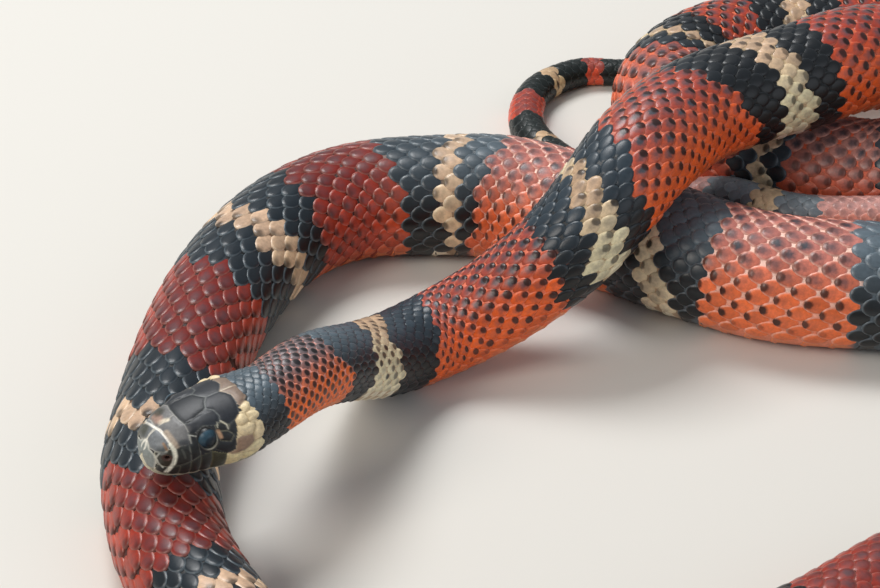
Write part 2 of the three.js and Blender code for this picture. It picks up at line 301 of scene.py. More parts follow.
class Look(Enum):
    """Stretches of the body whose scales look alike."""

    NECK = Dressing(
        span=(-30, 24),
        upper=("#6A5C5E", "#4C5962", "#C4A88A"), flank=("#F67228", "#131619", "#E6DAB4"),
        skin=("#E0A39A", "#3A444B", "#C8B292"), edge=("#E8A796", "#7A858D", "#EBDCBC"),
        rim=(0.6, 0.4, 0.45), smoke_and_sheen=1.0, tip=1.0, spot=(0.36, 0.46, 0.12),
    )
    SHOULDER = Dressing(
        span=(52, 112),
        upper=("#9C463A", "#2B363F", "#BC9E80"), flank=("#E6601E", "#0D0F10", "#E2D8B2"),
        skin=("#DC7458", "#161B1F", "#C4AC88"), edge=("#E08468", "#4A555D", "#E6D3B0"),
        rim=(0.55, 0.35, 0.3), smoke_and_sheen=1.0, tip=1.0, spot=(0.74, 0.42, 0.1),
    )
    FORE = Dressing(
        span=(138, 385),
        upper=("#A03C2C", "#151A1F", "#BFA184"), flank=("#E45C20", "#0B0C0D", "#E0D6AE"),
        skin=("#DC6E4E", "#101315", "#C4AC88"), edge=("#E27F60", "#3D474E", "#E6D3B0"),
        rim=(0.5, 0.3, 0.3), smoke_and_sheen=0.85, tip=1.0, spot=(0.74, 0.42, 0.1),
    )
    BEND = Dressing(
        span=(420, 520),
        upper=("#A67870", "#3A464F", "#BC9E82"), flank=("#BE5538", "#15181A", "#E0CBA6"),
        skin=("#CF6244", "#3A444B", "#E2CBAA"), edge=("#D58A72", "#6A7781", "#EAD9BC"),
        rim=(0.5, 0.4, 0.4), smoke_and_sheen=0.85, tip=0.8, spot=(0.74, 0.38, 0.14),
    )
    COILS = Dressing(
        span=(560, 650),
        # the back's black here is a lit steel grey, lighter than elsewhere: painted light on a stretch that
        # lies in the forebody's shade
        upper=("#B8746A", "#55626B", "#C8AE92"), flank=("#E8703C", "#14181B", "#DDCBA8"),
        skin=("#EEC6B6", "#505B63", "#B89C7C"), edge=("#EDBFAE", "#7D8A93", "#EAD9BC"),
        rim=(0.7, 0.55, 0.4), smoke_and_sheen=0.8, tip=1.0, spot=(0.78, 0.36, 0.12),
    )
    LOOP = Dressing(
        span=(690, 870),
        upper=("#70190F", "#18222A", "#C8A88C"), flank=("#A8361C", "#0E1113", "#D4B48E"),
        # the near-black skin between these close-packed scales is painted shade in the gaps
        skin=("#2A0D08", "#060708", "#6A5240"), edge=("#C08A7E", "#7C8991", "#E9D6BC"),
        rim=(0.42, 0.42, 0.45), smoke_and_sheen=0.42, tip=0.8, spot=(0.9, 0.42, 0.26),
    )
    FRONT = Dressing(
        span=(930, 1150),
        upper=("#8C3024", "#12171C", "#C0A07E"), flank=("#BC4426", "#0E1011", "#D0BA90"),
        skin=("#5A221A", "#191C1F", "#A98D6C"), edge=("#C28F82", "#66717A", "#E4CFAE"),
        rim=(0.35, 0.3, 0.4), smoke_and_sheen=0.55, tip=0.5, spot=(0.82, 0.4, 0.2),
    )
    SMALL = Dressing(
        span=(1185, 1245),
        # the pale greys and pinks on the back of the tail's base are painted sheen
        upper=("#CB968E", "#7A868E", "#C9B08F"), flank=("#D27458", "#25292C", "#DCC79E"),
        skin=("#D8A698", "#3F474D", "#A98D6C"), edge=("#D9AFA4", "#8A959C", "#E4CFAE"),
        rim=(0.5, 0.5, 0.4), smoke_and_sheen=0.4, tip=0.4, spot=(0.82, 0.4, 0.2),
    )
    TAIL = Dressing(
        span=(1270, TAIL_TIP),
        upper=("#96382A", "#121A19", "#BC9E7C"), flank=("#CC4828", "#0B0E0D", "#CDB286"),
        skin=("#9C4C3E", "#191C1F", "#A98D6C"), edge=("#D79C8C", "#5A6A6A", "#E4CFAE"),
        rim=(0.4, 0.3, 0.4), smoke_and_sheen=0.4, tip=0.3, spot=(0.82, 0.4, 0.2),
    )


@dataclass
class Pattern:
    """Rings of red, black and cream along the body, and the colours that carry them."""

    # stations where the rings end, from the nape to the tail, and the rings' tones in turn
    ring_ends: tuple[float, ...] = (
        -0.8, 13.4, 32, 42, 59, 86.5, 95.7, 99.7, 107, 131, 145.5, 152.5, 164, 192, 203, 208, 218, 246, 256,
        261, 271, 298, 308, 313, 323, 347, 355, 361, 369, 381, 387, 390, 394, 430, 434, 437, 441, 461, 467, 473,
        483, 509, 519, 525, 535, 553, 559, 564, 578, 605, 620, 626, 635, 658.5, 666, 671, 683.5, 706, 718.3,
        727, 739.5, 770, 790, 796, 810, 833, 843, 849, 860, 886, 898, 904, 916, 942, 953, 960, 971, 996, 1007,
        1013, 1024, 1048, 1058, 1063, 1073, 1096, 1105, 1110, 1119, 1140, 1148, 1153, 1161, 1178, 1186, 1190,
        1203, 1217, 1225, 1231, 1241, 1254, 1260, 1264, 1270, 1283, 1289, 1291, 1301.5, 1311, 1319.2, 1323.6,
        1331, 1335.3, 1342, 1346, 1353, 1364, 1369, 1372, 1377, 1386,
    )
    cycle: tuple[Tone, ...] = (Tone.BLACK, Tone.RED, Tone.BLACK, Tone.CREAM)
    # how far an edge that leans lies behind its place on the back, at the angles below
    lean_angles: tuple[float, ...] = (-90, -45, 0, 45, 90)
    leans: dict[float, tuple[float, ...]] = field(
        default_factory=lambda: {
            13.4: (0, 0, 0, 0.6, 4.6), 32: (8, 6, 0, -3.7, -5.5), 42: (7, 5, 0, -6, -2),
            59: (3, 2, 0, -3.5, -7), 86.5: (1, 1, 0, 0.3, -2.5), 95.7: (3, 2, 0, -3.7, -6.7),
            99.7: (3, 2, 0, -2.9, -5.5), 107: (4, 3, 0, -4.8, -7), 131: (-3, -2, 0, 3.9, 11),
            145.5: (-1, -1, 0, 4, 4), 152.5: (-1, -1, 0, 2.7, 4.5), 578: (-1.5, -2.5, 0, 0, 0),
            605: (-1.5, -0.5, 0, 1, 1), 620: (-10.5, -4, 0, 2, 2), 626: (-9, -4, 0, 2, 2),
            635: (-8, -4, 0, 2, 2), 658.5: (5.5, 3.5, 0, -1, -2), 666: (1, 1.5, 0, 0, 0),
            683.5: (-3.5, -2.5, 0, 1, 2), 706: (4, 2.5, 0, -2.5, -4), 718.3: (0, 1.7, 0, -2, -3),
            727: (-1, 2, 0, -4, -5), 739.5: (3, 2.5, 0, -3.5, -5), 770: (7, 5.5, 0, -4, -7),
            790: (6, 4, 0, -5.5, -9), 796: (6, 4, 0, -5, -9), 810: (3, 2, 0, -7, -12),
        }
    )
    belly: Tints = ("#E58350", "#1E1F21", "#EDE4CB")
    # degrees from the middle of the back over which one colouring gives way to the next
    flank_angles: Pair = (18, 82)
    belly_angles: Pair = (110, 128)
    ground_angles: Pair = (55, 105)
    ground_share: float = 0.75

    def tones(self, station: Array, angle: Array) -> Array:
        """Tone of the ring that each place lies in.

        Args:
            station: places along the body.
            angle: degrees round the body, positive to the left.

        Returns:
            Tones as whole numbers.
        """
        turned = (angle + 180) % 360 - 180
        passed = np.zeros(np.broadcast(station, angle).shape, int)
        for end in self.ring_ends:
            lean = self.leans.get(end)
            passed += station > end + (np.interp(turned, self.lean_angles, lean) if lean else 0.0)
        return np.array(self.cycle)[passed % len(self.cycle)]

    def look(self, station: Array, part: str) -> Array:
        """One part of the look at each station, between the looks on either side.

        Args:
            station: places along the body.
            part: the name of a field of Dressing.

        Returns:
            The field's values, with colours linear, one row for each station.
        """
        rows = []
        for look in Look:
            values = getattr(look.value, part)
            values = values if isinstance(values, tuple) else (values,)
            row = np.concatenate([rgb(v) if isinstance(v, str) else [v] for v in values])
            rows += [[place, *row] for place in look.value.span]
        return np.stack([keyed(rows, station, k) for k in range(1, len(rows[0]))], -1)

    def of_tone(self, station: Array, tone: Array, part: str) -> Array:
        """Linear colour that a part of the look gives to each place's tone."""
        colours = self.look(station, part).reshape(*station.shape, len(Tone), 3)
        return np.take_along_axis(colours, tone[..., None, None], -2)[..., 0, :]

    def colour(self, station: Array, angle: Array) -> Array:
        """Colour of a scale by its place.

        Args:
            station: place along the body.
            angle: degrees round the body from the middle of the back.

        Returns:
            Linear colours, one row each.
        """
        tone = self.tones(station, angle)
        side = np.abs(angle)
        upper, flank = self.of_tone(station, tone, "upper"), self.of_tone(station, tone, "flank")
        belly = np.array([rgb(colour) for colour in self.belly])[tone]
        # the back's colours, partly painted sheen, give way to the flanks' own colours
        body = blend(upper, flank, ease(*self.flank_angles, side))
        return blend(body, belly, ease(*self.belly_angles, side))

    def ground(self, station: Array, angle: Array) -> Array:
        """Colour of the soft skin between the scales, nearer the scales' own low on the red rings.

        Args:
            station: stations.
            angle: degrees round the body from the middle of the back.

        Returns:
            Linear colours.
        """
        tone = self.tones(station, angle)
        share = self.ground_share * ease(*self.ground_angles, np.abs(angle)) * (tone == Tone.RED)
        return blend(self.of_tone(station, tone, "skin"), self.of_tone(station, tone, "flank"), share)


@dataclass
class HeadForm:
    """Plain outer form of the head in millimetres: forward of the nape, across and up."""

    stations: tuple[tuple[float, float, float, float], ...] = (
        (28, 0, 0, 0), (27.4, 2.9, 1.4, 3.6), (26.3, 4.6, 2.8, 5.2), (24.5, 5.8, 3.9, 6.2),
        (22, 6.8, 5.0, 6.8), (19, 7.5, 6.0, 7.1), (16, 8.1, 6.6, 7.2), (12, 9.2, 7.0, 7.1),
        (8, 9.4, 7.2, 6.9), (4, 8.8, 7.4, 6.6), (0, 7.9, 7.5, 6.45),
    )
    tip_height: float = -0.8
    boxiness: float = 0.92
    bends: Array = field(init=False)
    reach: Array = field(init=False)

    def __post_init__(self) -> None:
        """Prepares the rounded curve through the stations."""
        rows = np.array(self.stations)
        self.reach = np.sqrt((HEAD_LENGTH - rows[:, 0]) / HEAD_LENGTH)
        self.bends = Route.bends(rows[:, 1:], self.reach)

    def sizes(self, forward: Array) -> Array:
        """Half width, height above and depth below the axis at each place.

        Args:
            forward: millimetres forward of the nape.

        Returns:
            The three sizes, in a last axis.
        """
        rows = np.array(self.stations)[:, 1:]
        y = np.sqrt(np.clip(HEAD_LENGTH - forward, 0, HEAD_LENGTH) / HEAD_LENGTH)
        i = np.clip(np.searchsorted(self.reach, y), 1, len(rows) - 1)
        span = self.reach[i] - self.reach[i - 1]
        b = ((y - self.reach[i - 1]) / span)[..., None]
        a = 1 - b
        bent = ((a**3 - a) * self.bends[i - 1] + (b**3 - b) * self.bends[i]) * (span**2 / 6)[..., None]
        return a * rows[i - 1] + b * rows[i] + bent

    def section(self, forward: Array, angle: Array) -> tuple[Array, Array]:
        """Across and up of the head's skin.

        Args:
            forward: millimetres forward of the nape.
            angle: degrees round the head from the crown, positive to the left.

        Returns:
            Across and up, in millimetres.
        """
        size = self.sizes(forward)
        turn = np.radians(angle)
        sine, cosine = np.sin(turn), np.cos(turn)
        box = 1 - (1 - self.boxiness) * ease(0, 4, forward)
        across = size[..., 0] * np.sign(sine) * np.abs(sine) ** box
        flat = np.minimum(np.abs(cosine), BELLY_FLAT) / BELLY_FLAT
        rounded = ease(0, 8, forward)
        under = flat * (1 - rounded) + np.abs(cosine) ** box * rounded
        drop = self.tip_height * np.exp(-((HEAD_LENGTH - forward) / 1.2))
        above = drop + (size[..., 1] - drop * (HEAD_LENGTH - forward) / HEAD_LENGTH) * np.abs(cosine) ** box
        below = drop - (size[..., 2] + drop * (HEAD_LENGTH - forward) / HEAD_LENGTH) * under
        return across, np.where(cosine > 0, above, below)


@dataclass
class SkinForm:
    """The skin's surface over head and body."""

    route: Route
    head: HeadForm
    coat: float = 0.5
    coat_share: float = 0.07
    least_height: float = 0.3

    def inset(self, station: Array) -> Array:
        """Depth of the skin below the outside of the scales."""
        return np.minimum(self.coat, self.coat_share * self.route.girth(station)) * ease(-9, -5, station)

    def section(self, station: Array, angle: Array) -> tuple[Array, Array]:
        """Across and up of the skin at a station and angle, in millimetres.

        Args:
            station: stations.
            angle: degrees round the body from the middle of the back.

        Returns:
            Across and up.
        """
        girth = self.route.girth(station) - self.inset(station)
        turn = np.radians(angle)
        across = girth * np.sin(turn)
        up = girth * SECTION_HEIGHT * np.maximum(np.cos(turn), -BELLY_FLAT)
        head_across, head_up = self.head.section(np.maximum(-station, 0), angle)
        shrink = 1 - self.inset(station) / 8
        ahead = station < 0
        return np.where(ahead, head_across * shrink, across), np.where(ahead, head_up * shrink, up)

    def place(self, station: Array, across: Array, up: Array) -> Array:
        """Puts across and up on the route.

        Args:
            station: stations.
            across: millimetres to the left.
            up: millimetres above the axis.

        Returns:
            Points in millimetres.
        """
        centre, left, rise = self.route.frames(station)
        points = centre + across[..., None] * left + up[..., None] * rise
        points[..., 2] = np.maximum(points[..., 2], self.least_height)
        return points

    def surface(self, station: Array, angle: Array) -> Array:
        """Points of the skin in millimetres."""
        across, up = self.section(station, angle)
        return self.place(station, across, up)


def link(name: str, data: bpy.types.ID) -> bpy.types.Object:
    """Puts data in the scene as an object.

    Args:
        name: the object's name.
        data: its mesh, camera or light.

    Returns:
        The object.
    """
    piece = bpy.data.objects.new(name, data)
    bpy.context.scene.collection.objects.link(piece)
    return piece


def make_mesh(name: str, points: Array, faces: list, size: float = MM) -> bpy.types.Object:
    """Makes a smooth mesh object in the scene.

    Args:
        name: the object's name.
        points: its points.
        faces: numbers of each face's points.
        size: metres in one unit of the points.

    Returns:
        The object.
    """
    mesh = bpy.data.meshes.new(name)
    mesh.from_pydata((points * size).tolist(), [], faces)
    mesh.update()
    mesh.shade_smooth()
    return link(name, mesh)


def grid(rows: int, columns: int, first: int = 0, closed: bool = True) -> list[tuple[int, ...]]:
    """Faces of a grid of points.

    Args:
        rows: number of rows.
        columns: points in each row.
        first: number of the first point.
        closed: whether the end of a row joins its start.

    Returns:
        Four corners for each face.
    """
    found = []
    for i in range(first, first + (rows - 1) * columns, columns):
        for k in range(columns if closed else columns - 1):
            a, b = i + k, i + (k + 1) % columns
            found.append((a, b, b + columns, a + columns))
    return found


def store(mesh: bpy.types.Mesh, name: str, values: Array) -> None:
    """Stores a value for each point as a named attribute.

    Args:
        mesh: the mesh that takes it.
        name: the attribute's name.
        values: one row for each point, of three numbers for a vector or four for a colour.
    """
    kind, key = ("FLOAT_COLOR", "color") if values.shape[-1] == 4 else ("FLOAT_VECTOR", "vector")
    attribute = mesh.attributes.new(name, kind, "POINT")
    attribute.data.foreach_set(key, np.ascontiguousarray(values, np.float32).ravel())


def with_alpha(colours: Array) -> Array:
    """Adds an alpha of one to linear colours."""
    return np.concatenate([colours, np.ones((len(colours), 1))], 1)


# Finishes


@dataclass(frozen=True)
class Finish:
    """What every material has: its name, its gloss and its clear coat."""

    name: str
    roughness: float
    ior: float = 1.5
    coat: float = 0.0
    coat_roughness: float = 0.03

    def build(self) -> bpy.types.Material:
        """Makes the material.

        Returns:
            The material, with its own node tree.
        """
        material = bpy.data.materials.new(self.name)
        material.use_nodes = True
        tree = material.node_tree
        tree.nodes.clear()
        gloss = {
            "Roughness": self.roughness, "IOR": self.ior,
            "Coat Weight": self.coat, "Coat Roughness": self.coat_roughness,
        }
        shader = add(tree, "ShaderNodeBsdfPrincipled", self.surface(tree) | gloss)
        add(tree, "ShaderNodeOutputMaterial", {"Surface": shader.outputs[0]})
        return material

    def surface(self, tree: Tree) -> dict:
        """Colour and, where it has a grain, normal of the surface."""
        raise NotImplementedError

    @staticmethod
    def patches(tree: Tree, size_mm: float, detail: float, rough: float = 0.5) -> Socket:
        """Cloudy pattern whose patches have a real size.

        Args:
            tree: the material's tree.
            size_mm: size of the patches in millimetres.
            detail: how many finer layers it has.
            rough: strength of the finer layers.

        Returns:
            Values about 0.5.
        """
        where = add(tree, "ShaderNodeTexCoord").outputs["Object"]
        inputs = {"Vector": where, "Scale": 1 / (size_mm * MM), "Detail": detail, "Roughness": rough}
        return add(tree, "ShaderNodeTexNoise", inputs).outputs["Fac"]

    @staticmethod
    def mark(
        tree: Tree, colour: Socket, tint: object, value: Socket, span: tuple, share: Socket
    ) -> Socket:
        """Lays a mark with a soft edge over a colour.

        Args:
            tree: the material's tree.
            colour: the colour so far.
            tint: the mark's own colour.
            value: what decides where the mark shows.
            span: the value at which it starts, and the one at which it is full.
            share: strength of the mark on each scale.

        Returns:
            The colour with the mark.
        """
        limits = {"Value": value, "From Min": span[0], "From Max": span[1], "To Min": 0.0, "To Max": 1.0}
        shown = add(tree, "ShaderNodeMapRange", limits, interpolation_type="SMOOTHSTEP").outputs["Result"]
        strength = add(tree, "ShaderNodeMath", {0: shown, 1: share}, operation="MULTIPLY").outputs[0]
        return add(tree, "ShaderNodeMix", {0: strength, 6: colour, 7: tint}, data_type="RGBA").outputs[2]

    @staticmethod
    def shade(tree: Tree, colour: Socket, pattern: Socket, source: Pair, shades: Pair) -> Socket:
        """Darkens and lightens a colour by a pattern.

        Args:
            tree: the material's tree.
            colour: the colour.
            pattern: the pattern.
            source: range of the pattern that is used.
            shades: what the range's ends multiply the colour by.

        Returns:
            The shaded colour.
        """
        (low, high), (dark, light) = source, shades
        limits = {"Value": pattern, "From Min": low, "From Max": high, "To Min": dark, "To Max": light}
        factor = add(tree, "ShaderNodeMapRange", limits).outputs["Result"]
        inputs = {0: 1.0, 6: colour, 7: factor}
        return add(tree, "ShaderNodeMix", inputs, data_type="RGBA", blend_type="MULTIPLY").outputs[2]

    def grain(self, tree: Tree, size_mm: float, strength: float) -> Socket:
        """Normal of a fine grain, 0.06 mm deep at full strength."""
        inputs = {"Height": self.patches(tree, size_mm, 2.0), "Strength": strength, "Distance": 0.06 * MM}
        return add(tree, "ShaderNodeBump", inputs).outputs["Normal"]


@dataclass(frozen=True)
class ScaleKeratin(Finish):
    """Smooth snake scale: thin clear keratin over pigmented skin, so satin with a soft wet-looking lobe."""

    name: str = "smooth scale keratin"
    roughness: float = 0.35
    ior: float = 1.43
    coat: float = 0.04
    coat_roughness: float = 0.25
    mottle_mm: float = 0.9
    striae_mm: float = 0.22
    tip_colour: str = "#0D0E10"
    # grey of the smoky middle, which on the back also stands for a painted sheen
    smoke_and_sheen_colour: str = "#45454D"
    tip_hue: float = 0.05
    rim_from: float = 0.74

    def surface(self, tree: Tree) -> dict:
        """Colour of one scale: its hue, a smoky middle that on the back is partly a painted sheen, a thin pale
        edge that is partly a painted highlight, and a black end.

        Args:
            tree: the material's tree.

        Returns:
            The shader's colour and normal.
        """
        reads = {"hue": "Color", "edge": "Color", "patch": "Vector", "spot": "Vector", "marks": "Vector"}
        hue, edge, patch, spot, marks = (
            add(tree, "ShaderNodeAttribute", attribute_name=name).outputs[kind]
            for name, kind in reads.items()
        )
        spot, marks = (add(tree, "ShaderNodeSeparateXYZ", {0: value}).outputs for value in (spot, marks))
        mottle = self.patches(tree, self.mottle_mm, 3.0, 0.6)
        # the smoky middle of the red scales; where it is strong on the back, its grey is a painted sheen
        squash = {0: patch, 1: (1.0, 0.85, 0.0)}
        squashed = add(tree, "ShaderNodeVectorMath", squash, operation="MULTIPLY").outputs[0]
        middle = {0: squashed, 1: (0.3, 0.0, 0.0)}
        apart = add(tree, "ShaderNodeVectorMath", middle, operation="DISTANCE").outputs["Value"]
        wisps = {0: mottle, 1: 0.7, 2: apart}
        cloud = add(tree, "ShaderNodeMath", wisps, operation="MULTIPLY_ADD").outputs[0]
        colour = self.mark(tree, hue, linear(self.smoke_and_sheen_colour), cloud, (1.15, 0.45), marks[1])
        # the thin edge: partly a pale margin, partly a painted highlight on the rim
        reach = add(tree, "ShaderNodeVectorMath", {0: patch}, operation="LENGTH").outputs["Value"]
        colour = self.mark(tree, colour, edge, reach, (self.rim_from, 1.0), marks[2])
        # the black end
        centre = add(tree, "ShaderNodeCombineXYZ", {0: spot[0]}).outputs[0]
        squash = {0: patch, 1: (1.0, 0.72, 0.0)}
        squashed = add(tree, "ShaderNodeVectorMath", squash, operation="MULTIPLY").outputs[0]
        middle = {0: squashed, 1: centre}
        away = add(tree, "ShaderNodeVectorMath", middle, operation="DISTANCE").outputs["Value"]
        beyond = add(tree, "ShaderNodeMath", {0: away, 1: spot[1]}, operation="SUBTRACT").outputs[0]
        wisps = {0: mottle, 1: 0.2, 2: beyond}
        ragged = add(tree, "ShaderNodeMath", wisps, operation="MULTIPLY_ADD").outputs[0]
        blur = tuple(
            add(tree, "ShaderNodeMath", {0: 0.1, 1: spot[2]}, operation=way).outputs[0]
            for way in ("ADD", "SUBTRACT")
        )
        inputs = {0: self.tip_hue, 6: linear(self.tip_colour), 7: hue}
        ending = add(tree, "ShaderNodeMix", inputs, data_type="RGBA").outputs[2]
        colour = self.mark(tree, colour, ending, ragged, blur, marks[0])
        return {
            "Base Color": self.shade(tree, colour, mottle, (0.3, 0.7), (0.84, 1.12)),
            "Normal": self.grain(tree, self.striae_mm, 0.25),
        }


@dataclass(frozen=True)
class SoftSkin(Finish):
    """Soft skin of head shields and of the folds between scales: duller than the scales, finely grained."""

    name: str = "soft skin and head shields"
    roughness: float = 0.46
    ior: float = 1.42
    coat: float = 0.04
    coat_roughness: float = 0.3
    mottle_mm: float = 0.7
    grain_mm: float = 0.16

    def surface(self, tree: Tree) -> dict:
        """Colour painted on the skin, mottled.

        Args:
            tree: the material's tree.

        Returns:
            The shader's colour and normal.
        """
        hue = add(tree, "ShaderNodeAttribute", attribute_name="hue").outputs["Color"]
        mottle = self.patches(tree, self.mottle_mm, 4.0, 0.65)
        return {
            "Base Color": self.shade(tree, hue, mottle, (0.3, 0.7), (0.78, 1.2)),
            "Normal": self.grain(tree, self.grain_mm, 0.2),
        }


@dataclass(frozen=True)
class ClearSpectacle(Finish):
    """The clear scale over the eye: a softly glossy shell over a near-black iris and pupil."""

    name: str = "clear eye scale"
    roughness: float = 0.42
    ior: float = 1.4
    coat: float = 0.03
    coat_roughness: float = 0.12
    fleck_mm: float = 0.4

    def surface(self, tree: Tree) -> dict:
        """Colour of the iris and pupil, finely flecked.

        Args:
            tree: the material's tree.

        Returns:
            The shader's colour.
        """
        hue = add(tree, "ShaderNodeAttribute", attribute_name="hue").outputs["Color"]
        fleck = self.patches(tree, self.fleck_mm, 2.0)
        return {"Base Color": self.shade(tree, hue, fleck, (0.0, 1.0), (0.7, 1.3))}


@dataclass(frozen=True)
class PaleFloor(Finish):
    """Matt painted board."""

    name: str = "matt pale floor"
    roughness: float = 0.85
    colour: str = "#D3D1CB"

    def surface(self, tree: Tree) -> dict:
        """One plain colour."""
        return {"Base Color": linear(self.colour)}


# The head's shields


@dataclass(frozen=True)
class ShieldLook:
    """Colour of a head shield, colour and strength of its edge, and how far it is domed, in millimetres."""

    colour: str
    edge: str
    strength: float
    dome: float = 0.1


class Shield(Enum):
    """Plates of the head."""

    ROSTRAL = ShieldLook("#7C827F", "#D6D3C6", 0.6)
    INTERNASAL = ShieldLook("#6C7073", "#CFCBC0", 0.5, 0.14)
    PREFRONTAL = ShieldLook("#6A6A6A", "#B9B7AE", 0.4, 0.12)
    FRONTAL = ShieldLook("#202429", "#858A87", 0.55, 0.06)
    SUPRAOCULAR = ShieldLook("#262A30", "#858A87", 0.45, 0.1)
    PARIETAL = ShieldLook("#20242B", "#7C8180", 0.45, 0.06)
    OCCIPITAL = ShieldLook("#7D6A5C", "#B9A890", 0.5, 0.12)
    NASAL = ShieldLook("#2E2C24", "#D8D6C4", 0.6, 0.12)
    LOREAL = ShieldLook("#2A2C2A", "#6E716B", 0.5)
    PREOCULAR = ShieldLook("#1E2122", "#85877E", 0.5)
    POSTOCULAR = ShieldLook("#222526", "#98957F", 0.5, 0.16)
    DARK_TEMPORAL = ShieldLook("#212428", "#5D605B", 0.5, 0.14)
    TAN_TEMPORAL = ShieldLook("#957C68", "#DCC9A4", 0.55, 0.16)
    CREAM_TEMPORAL = ShieldLook("#DCC9A2", "#A0865C", 0.6, 0.3)
    CHEEK = ShieldLook("#E2D4AA", "#A89066", 0.5, 0.26)
    DARK_LIP = ShieldLook("#282A28", "#6C6C5C", 0.5)
    OLIVE_LIP = ShieldLook("#3A3A2C", "#8F8C6A", 0.6)
    CREAM_LIP = ShieldLook("#DACB9C", "#EADFB8", 0.5, 0.2)
    LOWER_LIP = ShieldLook("#A9A692", "#6E6B5C", 0.5)
    CHIN = ShieldLook("#CFC8B0", "#8E8A78", 0.4)
    NAPE = ShieldLook("#1F2226", "#1F2226", 0.0)


@dataclass(frozen=True)
class Stroke:
    """A line of colour over the shields: its points, half width in millimetres, colour and strength."""

    points: tuple[Pair, ...]
    width: float
    colour: str
    strength: float
    sides: tuple[int, ...] = (1, -1)


# outlines of the left side's shields, in millimetres forward of the nape and degrees from the crown
OUTLINES: tuple[tuple[Shield, tuple], ...] = (
    (Shield.ROSTRAL, ((28.2, 0), (26.9, 0), (27.3, 30), (27.1, 62), (27.0, 104), (27.0, 140), (28.2, 140))),
    (Shield.INTERNASAL, (
        (26.9, 0), (27.3, 30), (26.9, 54), (25.9, 66), (24.8, 60), (24.2, 46), (24.4, 25), (24.8, 0),
    )),
    (Shield.PREFRONTAL, (
        (24.8, 0), (24.4, 25), (24.2, 46), (23.6, 62), (21.2, 64), (20.5, 46), (20.4, 27), (20.8, 14),
        (20.9, 0),
    )),
    (Shield.FRONTAL, (
        (20.9, 0), (20.8, 14), (20.4, 27), (19.2, 27.5), (17.6, 21.5), (15.5, 17), (14.9, 7), (14.0, 0),
    )),
    (Shield.SUPRAOCULAR, (
        (20.4, 27), (20.5, 46), (19.6, 49), (17.6, 44), (15.6, 48), (14.3, 44), (14.0, 34), (14.4, 23),
        (15.5, 17), (17.6, 21.5), (19.2, 27.5),
    )),
    (Shield.PARIETAL, (
        (14.0, 0), (14.9, 7), (15.5, 17), (14.4, 23), (14.0, 34), (14.3, 44), (13.6, 49), (12.8, 51),
        (11.6, 47), (10.3, 40), (9.8, 27), (9.6, 12), (10.2, 5), (11.0, 0),
    )),
    (Shield.OCCIPITAL, (
        (11.0, 0), (10.2, 5), (9.6, 12), (9.8, 27), (9.6, 31), (8.2, 27), (6.4, 13), (7.2, 3), (7.4, 0),
    )),
    (Shield.NASAL, (
        (26.9, 54), (27.1, 62), (27.0, 104), (26.9, 106), (25.2, 108), (24.4, 106), (24.0, 84), (24.2, 62),
        (24.8, 60), (25.9, 66),
    )),
    (Shield.LOREAL, (
        (24.2, 62), (24.0, 84), (24.4, 106), (23.1, 104), (21.1, 98), (21.2, 80), (21.2, 64), (23.6, 62),
    )),
    (Shield.PREOCULAR, ((21.2, 64), (21.2, 80), (21.1, 98), (19.2, 91), (19.4, 70), (19.6, 49), (20.5, 46))),
    (Shield.POSTOCULAR, ((15.6, 48), (15.7, 57), (13.5, 60), (12.8, 51), (13.6, 49), (14.3, 44))),
    (Shield.POSTOCULAR, ((15.7, 57), (15.4, 74), (13.4, 78), (12.6, 68), (13.5, 60))),
    (Shield.DARK_TEMPORAL, (
        (15.4, 74), (16.6, 86), (14.3, 96), (12.7, 92), (12.4, 76), (12.6, 68), (13.4, 78),
    )),
    (Shield.DARK_TEMPORAL, (
        (12.8, 51), (13.5, 60), (12.6, 68), (12.4, 76), (12.0, 66), (11.7, 55), (11.6, 47),
    )),
    (Shield.TAN_TEMPORAL, (
        (12.4, 76), (12.7, 92), (14.3, 96), (13.2, 101), (10.8, 97), (9.0, 88), (9.2, 76), (11.4, 73),
    )),
    (Shield.CREAM_TEMPORAL, ((9.9, 32), (9.4, 43), (8.0, 41), (7.2, 31), (8.2, 27))),
    (Shield.CREAM_TEMPORAL, (
        (11.6, 47), (10.3, 40), (9.4, 43), (9.2, 50), (9.4, 56), (10.6, 58), (11.7, 55),
    )),
    (Shield.CREAM_TEMPORAL, ((9.2, 50), (9.4, 43), (8.0, 41), (6.6, 46), (6.3, 54), (7.2, 59), (9.4, 56))),
    (Shield.CREAM_TEMPORAL, (
        (12.0, 66), (11.7, 55), (10.6, 58), (9.4, 56), (8.2, 61), (8.6, 69), (9.2, 76), (11.4, 73),
    )),
    (Shield.CREAM_TEMPORAL, (
        (9.2, 76), (8.6, 69), (8.2, 61), (7.2, 59), (6.4, 66), (6.3, 80), (7.4, 87), (9.0, 88),
    )),
    (Shield.CHEEK, (
        (9.0, 88), (10.8, 97), (13.2, 101), (11.4, 103), (8.2, 106), (6.6, 103), (6.4, 92), (7.4, 87),
    )),
)
CHIN_OUTLINES: tuple[tuple[Shield, tuple], ...] = (
    (Shield.CHIN, ((28.2, 140), (27.3, 140), (27.3, 153), (26.0, 180), (28.2, 180))),
    (Shield.CHIN, ((27.3, 153), (20.9, 153), (20.4, 180), (26.0, 180))),
    (Shield.CHIN, ((20.9, 153), (15.0, 153), (15.4, 180), (20.4, 180))),
)


